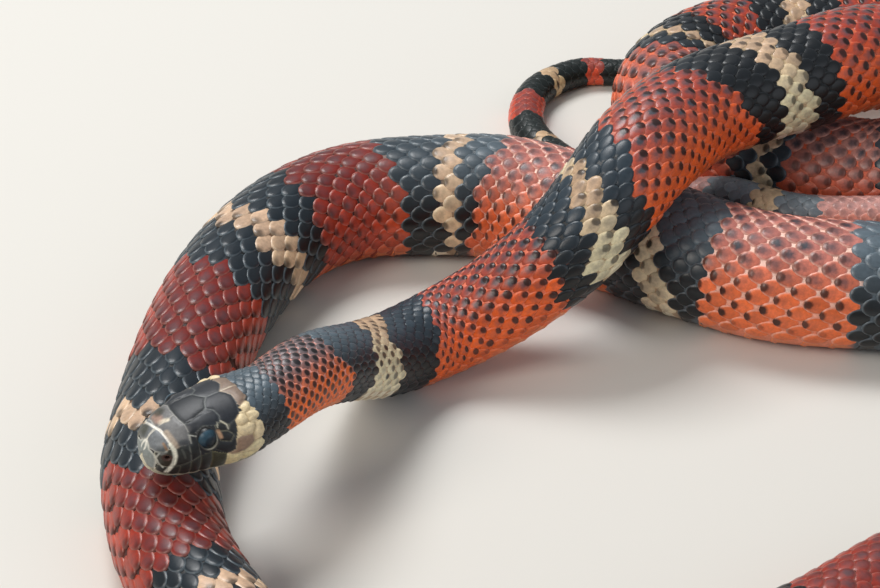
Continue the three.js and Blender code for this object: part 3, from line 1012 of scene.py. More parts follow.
@dataclass
class HeadDress:
    """Shields, lips, nostrils and orbits on the skin of the head.

    Corners are given as millimetres forward of the nape and degrees from the crown, on the
    left side, and the right side mirrors them.
    """

    form: HeadForm
    suture_depth: float = 0.12
    suture_width: float = 0.11
    edge_width: float = 0.15
    dome_reach: float = 0.9
    # outer and inner end of a stroke's soft edge, as shares of its half width
    stroke_edge: Pair = (1.6, 0.4)
    # place of the cream scales behind the shields: degrees from the crown, then forward of the nape
    collar: tuple[float, float, float, float] = (38, 118, 6.6, 12.4)
    orbit: Pair = (17.55, 2.75)
    orbit_size: Pair = (1.45, 1.66)
    # near black of the orbit's inside: painted shade in the socket
    socket_shade_tint: str = "#0A0B0D"
    orbit_ring_tint: str = "#CBC6B2"
    socket_depth: float = 1.6
    # height above the axis, half length, half height and relief of the ridge over the eye
    brow: tuple[float, float, float, float] = (5.0, 2.6, 0.9, 0.4)
    nostril: Pair = (25.3, 0.35)
    nostril_size: Pair = (0.46, 0.36)
    nostril_depth: float = 0.75
    nostril_shade_tint: str = "#120708"
    nostril_ring_tint: str = "#4A2A22"
    # folds along the mouth: height, place above its line and width
    lip_folds: tuple[Triple, ...] = ((-0.42, 0, 0.16), (0.12, 0.75, 0.5), (0.1, -0.7, 0.5))
    # lines along the mouth: strength, place above its line, width and colour
    lip_lines: tuple[tuple[float, float, float, str], ...] = (
        (0.6, 0.38, 0.22, "#C7C4AF"), (0.85, 0, 0.15, "#171210"),
    )
    mouth: tuple[Pair, ...] = (
        (8, -2.9), (9, -3.2), (11, -4.0), (14, -4.9), (18, -5.2), (22, -5.1), (25, -4.6), (27, -3.6),
        (29, -3.2),
    )
    lips: tuple[tuple[float, float, Shield], ...] = (
        # front edge, angle of its top, and the shield behind it
        (26.9, 106, Shield.DARK_LIP), (25.2, 108, Shield.DARK_LIP), (23.1, 104, Shield.DARK_LIP),
        (21.1, 98, Shield.DARK_LIP), (19.2, 91, Shield.DARK_LIP), (17.1, 88, Shield.OLIVE_LIP),
        (14.3, 96, Shield.CREAM_LIP), (11.4, 101, Shield.CREAM_LIP), (8.2, 106, Shield.CREAM_LIP),
    )
    jaw_edges: tuple[float, ...] = (27.3, 25.4, 23.3, 20.9, 18.2, 15.6, 13.0, 10.4, 7.6)
    strokes: tuple[Stroke, ...] = (
        # pale band across the snout, behind the nostrils, down to the lip
        Stroke(
            ((25.2, -40), (25.1, -20), (24.9, -4), (24.5, 10), (24.4, 30), (24.2, 50)),
            0.22, "#E9E5DB", 0.95, (1,),
        ),
        Stroke(
            ((24.2, 50), (23.95, 66), (23.95, 84), (24.3, 98), (24.8, 108), (25.3, 122)),
            0.38, "#E3E1D0", 0.9, (1,),
        ),
        Stroke(((25.2, 40), (24.3, 62), (24.0, 84), (24.5, 104), (25.3, 122)), 0.34, "#DEDAC6", 0.85, (-1,)),
        Stroke(((26.3, 64), (26.8, 76), (27.0, 86), (26.7, 98), (26.0, 110)), 0.16, "#D0D0C4", 0.5),
        Stroke(((26.4, 60), (25.8, 64), (25.2, 66)), 0.14, "#C8C7BA", 0.45),
        Stroke(((27.6, -14), (26.9, 0), (27.6, 14)), 0.17, "#DAD7CB", 0.6),
        Stroke(((26.9, 0), (25.0, -2)), 0.12, "#CFCBBE", 0.55),
        # tan and cream patches of the snout
        Stroke(((23.6, -4), (22.4, 2)), 0.42, "#DCD2BC", 0.85, (1,)),
        Stroke(((23.9, 22), (23.7, 40), (23.3, 60)), 0.5, "#B6A28C", 0.6, (1,)),
        Stroke(((23.5, -10), (23.3, -28)), 0.8, "#A98674", 0.7, (1,)),
        Stroke(((22.4, -24), (22.2, -60)), 1.0, "#34342A", 0.85, (1,)),
        Stroke(((26.1, -20), (26.1, -60)), 0.9, "#3F3F33", 0.8, (1,)),
        Stroke(((22.2, 56), (20.9, 62)), 0.7, "#3A3E42", 0.8),
        Stroke(((25.9, 52), (25.9, 64)), 0.6, "#4A4F50", 0.75),
        Stroke(((25.2, 42), (25.1, 62)), 0.22, "#8A6A4C", 0.8),
        # black furrow beside the frontal
        Stroke(((20.0, 27.5), (19.0, 27), (17.6, 21.5), (16.0, 18)), 0.14, "#101214", 0.9),
        # before and behind the eye
        Stroke(((19.9, 50), (19.8, 74)), 0.5, "#121315", 0.85),
        Stroke(((20.7, 47), (19.5, 54)), 0.14, "#A9AAA2", 0.75),
        Stroke(((20.6, 48), (20.7, 63)), 0.16, "#8F9089", 0.7),
        Stroke(((15.3, 57), (15.1, 68)), 0.36, "#B28F72", 0.9),
        Stroke(((14.9, 44), (15.2, 52)), 0.12, "#B9B6A4", 0.6),
        Stroke(((14.2, 43), (13.4, 50), (13.4, 57)), 0.16, "#C6C2AE", 0.8),
        Stroke(((21.9, 72), (21.2, 84), (20.2, 88)), 0.2, "#16181A", 0.6),
        Stroke(((22.6, 70), (22.2, 90)), 0.2, "#5B5E58", 0.5),
        # pale midline behind the parietals
        Stroke(((10.6, 0), (8.4, 0)), 0.16, "#C4B8A4", 0.7),
    )

    def mouth_height(self, forward: Array) -> Array:
        """Height of the line of the mouth."""
        return keyed(self.mouth, forward)

    def mouth_angle(self, forward: float) -> float:
        """Angle of the line of the mouth round the head.

        Args:
            forward: millimetres forward of the nape.

        Returns:
            Degrees from the crown.
        """
        turns = np.linspace(91, 175, 200)
        _, up = self.form.section(np.full(200, forward), turns)
        return float(np.interp(-float(self.mouth_height(forward)), -up, turns))

    def shields(self) -> list[tuple[Shield, tuple]]:
        """Outlines of the left side's shields, the upper ones first.

        Returns:
            Each shield with its corners.
        """
        plates = list(OUTLINES)
        for (front, top, kind), (back, next_top, _) in zip(self.lips, self.lips[1:]):
            line = (back, self.mouth_angle(back)), (front, self.mouth_angle(front))
            plates.append((kind, ((front, top), (back, next_top), *line)))
        for front, back in zip(self.jaw_edges, self.jaw_edges[1:]):
            line = (front, self.mouth_angle(front)), (back, self.mouth_angle(back))
            plates.append((Shield.LOWER_LIP, (*line, (back + 0.4, 153), (front, 153))))
        return plates + list(CHIN_OUTLINES)

    @staticmethod
    def inside(outline: tuple, x: Array, y: Array) -> Array:
        """Which points lie inside an outline.

        Args:
            outline: the outline's corners.
            x: first coordinate of the points.
            y: second coordinate of the points.

        Returns:
            True for the points inside.
        """
        found = np.zeros(x.shape, bool)
        for (x0, y0), (x1, y1) in zip(outline, outline[1:] + outline[:1]):
            crosses = (y0 > y) != (y1 > y)
            rise = y1 - y0 if y1 != y0 else 1e-9
            found ^= crosses & (x < (x1 - x0) * (y - y0) / rise + x0)
        return found

    def nearest(self, lines: list, forward: Array, angle: Array) -> Array:
        """Distance in millimetres from each place to the nearest of some lines.

        Args:
            lines: pairs of corners.
            forward: millimetres forward of the nape.
            angle: degrees from the crown.

        Returns:
            Distances of the places' shape.
        """
        scale = math.radians(1) * np.maximum(self.form.sizes(forward)[..., 0], 1.0)
        found = np.full(forward.shape, 99.0)
        for (f0, a0), (f1, a1) in lines:
            run, turn = f1 - f0, (a1 - a0) * scale
            x, y = forward - f0, (angle - a0) * scale
            t = np.clip((x * run + y * turn) / (run * run + turn * turn + 1e-9), 0, 1)
            found = np.minimum(found, np.hypot(x - t * run, y - t * turn))
        return found

    def seams(self) -> list:
        """Pairs of corners of every seam between shields.

        Returns:
            The pairs, each once.
        """
        single = (Shield.FRONTAL, Shield.ROSTRAL)
        found = set()
        for shield, outline in self.shields():
            for start, end in zip(outline, outline[1:] + outline[:1]):
                middle = start[1] == end[1] == 0
                if max(start[0], end[0]) > 28 or start[1] == end[1] == 180 or (middle and shield in single):
                    continue
                found.add(tuple(sorted((start, end))))
        return sorted(found)

    def dress(self, forward: Array, angle: Array) -> tuple[Array, Array]:
        """Relief and colour of the head's skin.

        Args:
            forward: millimetres forward of the nape.
            angle: degrees from the crown.

        Returns:
            Height of the relief in millimetres, and linear colours.
        """
        _, up = self.form.section(forward, angle)
        side = np.abs(angle)
        near = self.nearest(self.seams(), forward, side)
        colour = np.broadcast_to(rgb(Shield.NAPE.value.colour), (*forward.shape, 3)).copy()
        rim = colour.copy()
        dome, strength = np.zeros(forward.shape), np.zeros(forward.shape)
        covered = np.zeros(forward.shape, bool)
        for shield, outline in self.shields():
            look, hit = shield.value, self.inside(outline, forward, side) & ~covered
            colour[hit], rim[hit] = rgb(look.colour), rgb(look.edge)
            dome[hit], strength[hit] = look.dome, look.strength
            covered |= hit
        top, foot, rear, front = self.collar
        collar = (side > top) & (side < foot) & (forward > rear) & (forward < front)
        colour[~covered & (side > foot)] = rgb(Shield.CHIN.value.colour)
        colour[~covered & collar] = rgb(Shield.CREAM_TEMPORAL.value.colour)
        colour = blend(colour, rim, bell(near, self.edge_width) * strength)
        suture = self.suture_depth * bell(near, self.suture_width)
        relief = dome * ease(0, self.dome_reach, near) - suture * covered
        for stroke in self.strokes:
            for sign in stroke.sides:
                away = self.nearest(list(zip(stroke.points, stroke.points[1:])), forward, sign * angle)
                outer, inner = (stroke.width * share for share in self.stroke_edge)
                share = stroke.strength * ease(outer, inner, away)
                colour = blend(colour, rgb(stroke.colour), share)
        return self.features(forward, side, up, relief, colour)

    def features(
        self, forward: Array, side: Array, up: Array, relief: Array, colour: Array
    ) -> tuple[Array, Array]:
        """Adds the mouth, the orbits and the nostrils.

        Args:
            forward: millimetres forward of the nape.
            side: degrees from the crown, on either side.
            up: millimetres above the axis.
            relief: relief of the shields.
            colour: colour of the shields.

        Returns:
            The relief and the colours with the features.
        """
        gap = up - self.mouth_height(forward)
        lips = ease(8.5, 10.5, forward) * (side > 80)
        for height, place, width in self.lip_folds:
            relief = relief + height * bell(gap - place, width) * lips
        for share, place, width, tint in self.lip_lines:
            colour = blend(colour, rgb(tint), share * bell(gap - place, width) * lips)
        ahead = (forward - self.orbit[0]) / self.orbit_size[0]
        high = (up - self.orbit[1]) / self.orbit_size[1]
        eye = (np.hypot(ahead, high) - 1) * self.orbit_size[0] + np.where(side > 20, 0, 99)
        relief = relief - self.socket_depth * ease(0.06, -0.3, eye) + 0.15 * bell(eye - 0.3, 0.22)
        place, length, height, rise = self.brow
        brow = np.exp(-(((forward - self.orbit[0]) / length) ** 2) - (((up - place) / height) ** 2))
        relief = relief + rise * (brow * (side > 25) * (side < 75))
        behind = ease(0.9, -0.5, ahead) * ease(1.0, 0.3, high)
        ring = bell(eye - 0.2, 0.16) * (0.06 + 0.6 * behind) * (eye > -0.1)
        colour = blend(colour, rgb(self.orbit_ring_tint), ring)
        # painted shade: the skin inside the orbit, round the sunken eye, is painted near black
        colour = blend(colour, rgb(self.socket_shade_tint), ease(0.04, -0.08, eye))
        nx, nz = self.nostril
        hole = np.hypot((forward - nx) / self.nostril_size[0], (up - nz) / self.nostril_size[1])
        hole = hole + np.where(side > 40, 0, 99)
        pit = ease(1.25, 0.35, hole)
        relief = relief - self.nostril_depth * pit + 0.1 * bell(hole - 1.9, 0.5)
        colour = blend(colour, rgb(self.nostril_ring_tint), 0.7 * ease(2.4, 1.2, hole))
        # painted shade: the nostril's pit is painted near black
        return relief, blend(colour, rgb(self.nostril_shade_tint), pit)


@dataclass
class Skin:
    """One unbroken skin from the snout to the tip of the tail."""

    form: SkinForm
    dress: HeadDress
    pattern: Pattern
    head_rings: int = 200
    head_sides: int = 256
    body_step: float = 2.0
    # sides of the head's grid for each side of the body's
    fine: int = 4
    # share of the chart that the head takes
    head_share: float = 0.6

    def build(self, finish: bpy.types.Material) -> bpy.types.Object:
        """Builds the skin with its colours.

        Args:
            finish: the skin's material.

        Returns:
            The skin's object.
        """
        forward = HEAD_LENGTH * (1 - np.linspace(0.012, 1, self.head_rings) ** 2)
        angle = np.arange(self.head_sides) * 360 / self.head_sides - 180
        f, a = np.meshgrid(forward, angle, indexing="ij")
        relief, head_colour = self.dress.dress(f, a)
        across, up = self.form.section(-f, a)
        plain = np.stack([f, across, up], -1)
        around = (np.roll(plain, -1, axis=1) - np.roll(plain, 1, axis=1)) / 2
        normal = unit(np.cross(around, np.gradient(plain, axis=0)), 1e-12)
        outward = np.sign((normal[..., 1] * across + normal[..., 2] * up).sum(-1))[:, None, None]
        shaped = plain + (relief * ease(0.5, 3, f))[..., None] * (normal * outward)
        head = self.form.place(-shaped[..., 0], shaped[..., 1], shaped[..., 2])
        stations = np.append(np.arange(self.body_step, TAIL_TIP - 1, self.body_step), TAIL_TIP - 0.6)
        s, b = np.meshgrid(stations, angle[:: self.fine], indexing="ij")
        body, body_colour = self.form.surface(s, b), self.pattern.ground(s, b)
        heights = np.array([self.form.head.tip_height, 0.0])
        ends = self.form.place(np.array([-HEAD_LENGTH, TAIL_TIP + 0.4]), np.zeros(2), heights)
        points = np.concatenate([head.reshape(-1, 3), body.reshape(-1, 3), ends])
        end_colours = [head_colour[0, :1], body_colour[-1, :1]]
        colours = np.concatenate([head_colour.reshape(-1, 3), body_colour.reshape(-1, 3), *end_colours])
        piece = make_mesh("snake_skin", points, self.faces(len(stations)))
        store(piece.data, "hue", with_alpha(colours))
        self.unwrap(piece.data, len(stations))
        piece.data.materials.append(finish)
        return piece

    def faces(self, body_rings: int) -> list[tuple[int, ...]]:
        """Faces of the head, the body, the band that joins them and the two ends.

        Args:
            body_rings: number of rings on the body.

        Returns:
            Numbers of each face's points.
        """
        n, sides = self.head_sides, self.head_sides // self.fine
        first = self.head_rings * n
        found = grid(self.head_rings, n)
        for k in range(sides):
            here, beside = first + k, first + (k + 1) % sides
            rim = [first - n + (self.fine * k + j) % n for j in range(-2, 3)]
            found += [(a, b, here) for a, b in zip(rim, rim[1:])]
            found.append((rim[-1], beside, here))
        found += grid(body_rings, sides, first)
        tip = first + body_rings * sides
        last = tip - sides
        found += [(tip, (k + 1) % n, k) for k in range(n)]
        return found + [(last + k, last + (k + 1) % sides, tip + 1) for k in range(sides)]

    def unwrap(self, mesh: bpy.types.Mesh, body_rings: int) -> None:
        """Lays the skin out flat, with most of the room for the head.

        Args:
            mesh: the skin's mesh.
            body_rings: number of rings on the body.
        """
        n, sides = self.head_sides, self.head_sides // self.fine
        u = np.concatenate([
            np.repeat(np.linspace(0.005, self.head_share, self.head_rings), n),
            np.repeat(np.linspace(self.head_share + 0.002, 0.995, body_rings), sides), [0.002, 0.998],
        ])
        rounds = np.tile(np.arange(n) / n, self.head_rings), np.tile(np.arange(sides) / sides, body_rings)
        v = np.concatenate([*rounds, [0.5, 0.5]])
        corners = np.empty(len(mesh.loops), np.int32)
        mesh.loops.foreach_get("vertex_index", corners)
        flat = np.stack([u[corners], v[corners]], 1)
        for polygon in mesh.polygons:
            span = slice(polygon.loop_start, polygon.loop_start + polygon.loop_total)
            if np.ptp(flat[span, 1]) > 0.6:
                flat[span, 1] = np.where(flat[span, 1] < 0.3, flat[span, 1] + 1, flat[span, 1])
        flat[:, 1] = 0.005 + flat[:, 1] * 0.985
        layer = mesh.uv_layers.new(name="OFBake")
        layer.data.foreach_set("uv", flat.astype(np.float32).ravel())


# Scales


class PlateShape:
    """Small closed meshes that are repeated over the body."""

    @staticmethod
    def from_rings(name: str, rings: list[Array], crest: Triple) -> bpy.types.Object:
        """Closes rings of points into one plate.

        Args:
            name: the object's name.
            rings: rings of equal length from the inner one out and down.
            crest: the middle point of the top.

        Returns:
            The plate, in its own unit space.
        """
        n = len(rings[0])
        points = np.concatenate([*rings, [crest]])
        faces = [(len(points) - 1, k, (k + 1) % n) for k in range(n)]
        faces += [(a, d, c, b) for a, b, c, d in grid(len(rings), n)]
        last = (len(rings) - 1) * n
        faces.append(tuple(last + k for k in range(n))[::-1])
        plate = make_mesh(name, points, faces, 1)
        store(plate.data, "patch", points * (1, 1, 0))
        return plate

    @classmethod
    def scale(cls) -> bpy.types.Object:
        """A smooth dorsal scale, rooted in front, with a rounded free tip.

        Returns:
            The scale, from -1 to 1 each way.
        """
        turn = np.arange(14) * 2 * np.pi / 14
        c, s = np.cos(turn), np.sin(turn)
        x = np.sign(c) * np.abs(c) ** np.where(c > 0, 0.98, 1.22)
        y = np.sign(s) * np.abs(s) ** np.where(c > 0, 0.95, 1.12)
        rings = [
            np.stack([size * x, size * y, height + tilt * size * x], 1)
            for size, height, tilt in (
                (0.6, 0.46, 0.34), (0.9, 0.3, 0.34), (1.0, -0.06, 0.34), (1.0, -0.9, 0),
            )
        ]
        return cls.from_rings("dorsal scale shape", rings, (0.0, 0.0, 0.52))

    @classmethod
    def scute(cls) -> bpy.types.Object:
        """A broad belly scute with a straight free rear edge.

        Returns:
            The scute, from -1 to 1 each way.
        """
        across = np.linspace(-1, 1, 9)
        rear = np.stack([1 - 0.35 * np.abs(across) ** 4, across], 1)
        front = np.stack([-1 + 0.25 * np.abs(across[::-1]) ** 4, across[::-1]], 1)
        x, y = np.concatenate([rear, front]).T
        rings = [
            np.stack([size * x, (0.97 + 0.03 * size) * y * min(1, size + 0.05), height + tilt * x], 1)
            for size, height, tilt in ((0.72, 0.3, 0.4), (0.93, 0.2, 0.4), (1.0, 0.0, 0.4), (1.0, -0.75, 0))
        ]
        return cls.from_rings("belly scute shape", rings, (0.0, 0.0, 0.3))


class LayTree:
    """Geometry Nodes tree that lays one plate on each point and wraps it on the skin."""

    def __init__(self) -> None:
        """Builds the tree."""
        self.tree = tree = bpy.data.node_groups.new("lay plates on the skin", "GeometryNodeTree")
        numbers = (
            "First station", "Run", "First angle", "Turn", "Spread", "Bake start", "Bake run", "Bake share",
        )
        kinds = {"Plates": "Geometry", "Plate shape": "Object", "Skin": "Object", "Finish": "Material"}
        kinds |= dict.fromkeys(numbers, "Float") | {"Seed": "Int"}
        self.sockets = {
            name: tree.interface.new_socket(name, in_out="INPUT", socket_type=f"NodeSocket{kind}").identifier
            for name, kind in kinds.items()
        }
        tree.interface.new_socket("Coat", in_out="OUTPUT", socket_type="NodeSocketGeometry")
        self.given = given = add(tree, "NodeGroupInput").outputs
        reader = "GeometryNodeInputNamedAttribute"
        size, root, lay, facing = (
            add(tree, reader, {"Name": name}, data_type="FLOAT_VECTOR").outputs["Attribute"]
            for name in ("plate_size", "root", "lay", "outward")
        )
        laid = self.instances(size)
        position = add(tree, "GeometryNodeInputPosition").outputs[0]
        flat, rooted = (add(tree, "ShaderNodeSeparateXYZ", {0: value}).outputs for value in (position, root))
        # the chart for the bake, where each plate is drawn in towards its root and so keeps clear of the next
        pulled = []
        for axis in (0, 1):
            offset = add(tree, "ShaderNodeMath", {0: flat[axis], 1: rooted[axis]}, operation="SUBTRACT")
            inputs = {0: offset.outputs[0], 1: given["Bake share"], 2: rooted[axis]}
            pulled.append(add(tree, "ShaderNodeMath", inputs, operation="MULTIPLY_ADD").outputs[0])
        bake = {"Geometry": laid, "Name": "OFBake", "Value": self.chart(*pulled, "Bake start", "Bake run")}
        charted = add(tree, "GeometryNodeStoreNamedAttribute", bake, data_type="FLOAT2", domain="CORNER")
        # each point of a plate goes to the skin's point at its station and angle, and out by its height
        target = self.chart(flat[0], flat[1], "First station", "Run")
        skin = add(tree, "GeometryNodeObjectInfo", {"Object": given["Skin"]}).outputs["Geometry"]
        on_skin, outward = (
            add(
                tree, "GeometryNodeSampleUVSurface", {0: skin, "Value": value, 2: lay, "Sample UV": target},
                data_type="FLOAT_VECTOR",
            ).outputs["Value"]
            for value in (position, facing)
        )
        height = add(tree, "ShaderNodeMath", {0: flat[2], 1: MM}, operation="MULTIPLY").outputs[0]
        rise = add(tree, "ShaderNodeVectorMath", {0: outward, "Scale": height}, operation="SCALE").outputs[0]
        total = add(tree, "ShaderNodeVectorMath", {0: on_skin, 1: rise}, operation="ADD").outputs[0]
        # nothing goes below the floor
        limit = {0: total, 1: (-9.0, -9.0, 0.0)}
        above = add(tree, "ShaderNodeVectorMath", limit, operation="MAXIMUM").outputs[0]
        moved = {"Geometry": charted.outputs["Geometry"], "Position": above}
        wrapped = add(tree, "GeometryNodeSetPosition", moved).outputs["Geometry"]
        dressed = add(tree, "GeometryNodeSetMaterial", {"Geometry": wrapped, "Material": given["Finish"]})
        add(tree, "NodeGroupOutput", {0: dressed.outputs["Geometry"]})

    def instances(self, size: Socket) -> Socket:
        """Real plates on the points, each a little larger or smaller than its size.

        Args:
            size: the plates' sizes.

        Returns:
            The plates' mesh.
        """
        tree, given = self.tree, self.given
        plate = add(tree, "GeometryNodeObjectInfo", {"Object": given["Plate shape"]}).outputs["Geometry"]
        limits = {"Seed": given["Seed"]}
        for socket, way in ((2, "SUBTRACT"), (3, "ADD")):
            edge = add(tree, "ShaderNodeMath", {0: 1.0, 1: given["Spread"]}, operation=way)
            limits[socket] = edge.outputs[0]
        vary = add(tree, "FunctionNodeRandomValue", limits, data_type="FLOAT").outputs[1]
        grown = add(tree, "ShaderNodeVectorMath", {0: size, "Scale": vary}, operation="SCALE").outputs[0]
        inputs = {"Points": given["Plates"], "Instance": plate, "Scale": grown}
        laid = add(tree, "GeometryNodeInstanceOnPoints", inputs).outputs["Instances"]
        return add(tree, "GeometryNodeRealizeInstances", {"Geometry": laid}).outputs["Geometry"]

    def chart(self, along: Socket, turn: Socket, start: str, run: str) -> Socket:
        """Place on a chart from a station and an angle.

        Args:
            along: the station.
            turn: the angle.
            start: name of the input with the chart's first station.
            run: name of the input with the chart's length.

        Returns:
            The place, between 0 and 1 each way.
        """
        places = []
        for value, low, span in ((along, start, run), (turn, "First angle", "Turn")):
            moved = add(self.tree, "ShaderNodeMath", {0: value, 1: self.given[low]}, operation="SUBTRACT")
            inputs = {0: moved.outputs[0], 1: self.given[span]}
            share = add(self.tree, "ShaderNodeMath", inputs, operation="DIVIDE", use_clamp=True)
            places.append(share.outputs[0])
        return add(self.tree, "ShaderNodeCombineXYZ", dict(enumerate(places))).outputs[0]

    def run(self, name: str, points: Array, values: dict, attributes: dict) -> bpy.types.Object:
        """Lays the plates and returns them as one plain mesh object.

        Args:
            name: the piece's name.
            points: station, angle and nought for each plate.
            values: the tree's inputs by name.
            attributes: values of each point attribute by name.

        Returns:
            The finished piece.
        """
        mesh = bpy.data.meshes.new(name)
        mesh.from_pydata(points.tolist(), [], [])
        for key, numbers in attributes.items():
            store(mesh, key, numbers)
        piece = link(name, mesh)
        modifier = piece.modifiers.new("lay plates", "NODES")
        modifier.node_group = self.tree
        for key, value in values.items():
            modifier[self.sockets[key]] = value
        graph = bpy.context.evaluated_depsgraph_get()
        laid = piece.evaluated_get(graph)
        made = bpy.data.meshes.new_from_object(laid, preserve_all_data_layers=True, depsgraph=graph)
        piece.modifiers.clear()
        piece.data = made
        made.name = name
        bpy.data.meshes.remove(mesh)
        return piece


@dataclass
class Coat:
    """All dorsal scales and belly scutes, in pieces along the body."""

    form: SkinForm
    pattern: Pattern
    tree: LayTree
    first: float = -7.2
    last: float = TAIL_TIP - 2.5
    reach: float = 121.0
    rows: int = 23
    pitch_keys: tuple[Pair, ...] = (
        (-8, 1.8), (2, 1.9), (10, 2.4), (18, 3.0), (32, 3.5), (50, 3.9), (74, 3.8), (84, 3.6), (98, 3.5),
        (112, 3.8), (122, 4.5), (130, 5.2), (140, 4.9), (158, 3.9), (180, 4.1), (300, 4.0), (348, 3.5),
        (380, 4.4), (404, 4.9), (424, 3.9), (449, 4.5), (500, 5.0), (560, 5.7), (582, 5.6), (594, 4.7),
        (604, 4.0), (630, 4.1), (653, 4.4), (688, 5.3), (701, 5.7), (716, 6.4), (735, 6.9), (750, 7.1),
        (765, 6.9), (800, 6.4), (821, 6.0), (860, 5.2), (900, 4.6), (1040, 3.8), (VENT, 3.2), (1220, 2.9),
        (1300, 2.5), (TAIL_TIP, 1.7),
    )
    # half length as a share of the pitch, and half width as a share of the rows' spacing
    fill_keys: tuple[Triple, ...] = (
        (-8, 0.52, 0.88), (8, 0.46, 0.80), (16, 0.41, 0.72), (30, 0.43, 0.74), (42, 0.47, 0.80),
        (60, 0.48, 0.80), (130, 0.48, 0.81), (250, 0.50, 0.84), (400, 0.48, 0.81), (520, 0.48, 0.83),
        (610, 0.48, 0.83), (660, 0.49, 0.83), (700, 0.51, 0.88), (830, 0.51, 0.89), (900, 0.52, 0.88),
        (1100, 0.52, 0.88), (TAIL_TIP, 0.54, 0.92),
    )
    # row pairs, counted from the edge, and the stations where they end
    row_ends: tuple[tuple[int, float], ...] = (
        (5, 770), (7, 930), (3, 1040), (8, 1120), (2, 1180), (6, 1225), (9, 1275), (4, 1320), (1, 1350),
        (0, 1378),
    )
    change_run: float = 16.0
    # least weight at which a row still carries scales
    least_weight: float = 0.45
    # degrees from the middle of the back between which the black ends fade out
    tip_angles: Pair = (112, 98)
    # share of the pitch and of the width by which a scale's place varies
    jitter: Pair = (0.025, 0.03)
    # relief: share of the body's half width, what is added to it, and the most
    scale_relief: Triple = (0.044, 0.09, 0.68)
    scute_relief: Triple = (0.03, 0.03, 0.4)
    # half length of a scute as a share of the pitch
    scute_length: float = 0.62
    # share by which sizes vary, and how much of its size each plate keeps on the bake's chart
    spread: float = 0.04
    bake_share: float = 0.62
    # names of the body's lengths and the stations where they start
    lengths: tuple[tuple[str, float], ...] = (
        ("nape", -20), ("foreneck", 58), ("forebody_rise", 121), ("forebody", 187), ("rear_bend_right", 266),
        ("rear_bend", 332), ("hairpin_left", 396), ("hairpin_rise", 458), ("hairpin_right", 512),
        ("middle_right", 569), ("middle", 636), ("left_loop_rear", 700), ("left_loop", 762),
        ("left_loop_front", 830), ("front_left", 888), ("front_middle", 955), ("front_right", 1024),
        ("before_vent", 1096), ("tail_base", VENT), ("tail_middle", 1234), ("tail_bend", 1300),
        ("tail_end", 1350), ("", TAIL_TIP + 20),
    )
    # stations whose right side faces the camera, so the belly takes its rings from that side
    right_seen: Pair = (480, 790)
    seed: int = 7

    def pitch(self, station: Array) -> Array:
        """Distance from one scale to the next in a row."""
        return keyed(self.pitch_keys, station)

    def relief(self, station: Array, share: float, least: float, most: float) -> Array:
        """Relief of a plate in millimetres, from a share of the body's half width."""
        return np.minimum(most, share * self.form.route.girth(station) + least)

    def steps(self) -> Array:
        """Stations of the cross rows, two for each scale's length.

        Returns:
            Stations from the nape to the tail.
        """
        found = [self.first]
        while found[-1] < self.last:
            found.append(found[-1] + float(self.pitch(np.array(found[-1]))) / 2)
        return np.array(found)

    def weights(self, station: Array) -> Array:
        """Share of the girth that each row takes, one line for each station.

        Args:
            station: stations of any shape.

        Returns:
            One row of weights each.
        """
        weight = np.ones((len(station), self.rows))
        for row, place in self.row_ends:
            share = 1 - ease(place - self.change_run, place, station)
            weight[:, row] *= share
            weight[:, self.rows - 1 - row] *= share
        return weight

    def helper(self, low: float, high: float) -> bpy.types.Object:
        """Unrolled copy of the skin that the plates are wrapped on.

        Args:
            low: first angle round the body.
            high: last angle round the body.

        Returns:
            The helper's object, with its chart and its outward directions.
        """
        stations = np.arange(-24.0, TAIL_TIP + 12, 1.2)
        angles = np.linspace(low, high, int((high - low) / 5) + 1)
        s, a = np.meshgrid(stations, angles, indexing="ij")
        points = self.form.surface(s, a)
        normal = unit(np.cross(np.gradient(points, axis=1), np.gradient(points, axis=0)))
        piece = make_mesh("skin chart", points.reshape(-1, 3), grid(*s.shape, closed=False))
        chart = np.stack([(s - stations[0]) / np.ptp(stations), (a - low) / (high - low), 0 * s], -1)
        store(piece.data, "lay", chart.reshape(-1, 3))
        store(piece.data, "outward", normal.reshape(-1, 3))
        piece["first"], piece["run"] = float(stations[0]), float(np.ptp(stations))
        return piece

    def dorsals(self) -> dict[str, Array]:
        """Place, size and colouring of every dorsal scale.

        Returns:
            One row for each scale, by the attribute's name.
        """
        rng = np.random.default_rng(self.seed)
        steps = self.steps()
        weight = self.weights(steps)
        share = 2 * self.reach / weight.sum(1, keepdims=True)
        centre = (np.cumsum(weight, 1) - weight / 2) * share - self.reach
        index, row = np.meshgrid(np.arange(len(steps)), np.arange(self.rows), indexing="ij")
        keep = ((index + row) % 2 == 0) & (weight > self.least_weight)
        s, angle, across = steps[index[keep]], centre[keep], (weight * share)[keep]
        pitch = self.pitch(s)
        long = pitch * keyed(self.fill_keys, s)
        wide = across * keyed(self.fill_keys, s, 2) * (0.94 + 0.06 * weight[keep])
        sizes = np.stack([long, wide, self.relief(s, *self.scale_relief)], 1)
        s = s + rng.normal(0, self.jitter[0], len(s)) * pitch
        angle = angle + rng.normal(0, self.jitter[1], len(s)) * across
        return {"place": np.stack([s, angle, 0 * s], 1), "plate_size": sizes} | self.colours(rng, s, angle)

    def colours(self, rng: np.random.Generator, s: Array, angle: Array) -> dict[str, Array]:
        """Colours and marks of the dorsal scales.

        Args:
            rng: the seeded generator.
            s: stations.
            angle: degrees round the body.

        Returns:
            Colour, edge colour, place of the black end, and the shares of black end, of the smoky middle, which
            on the back is partly a painted sheen, and of the pale edge, partly a painted highlight.
        """
        count, side = len(s), np.abs(angle)
        tone = self.pattern.tones(s, angle)
        red, cream = tone == Tone.RED, tone == Tone.CREAM
        hue = self.pattern.colour(s, angle) * rng.uniform(0.84, 1.16, (count, 1))
        edge = self.pattern.of_tone(s, tone, "edge") * rng.uniform(0.9, 1.1, (count, 1))
        spot = self.pattern.look(s, "spot") * rng.normal(1, 0.08, (count, 3))
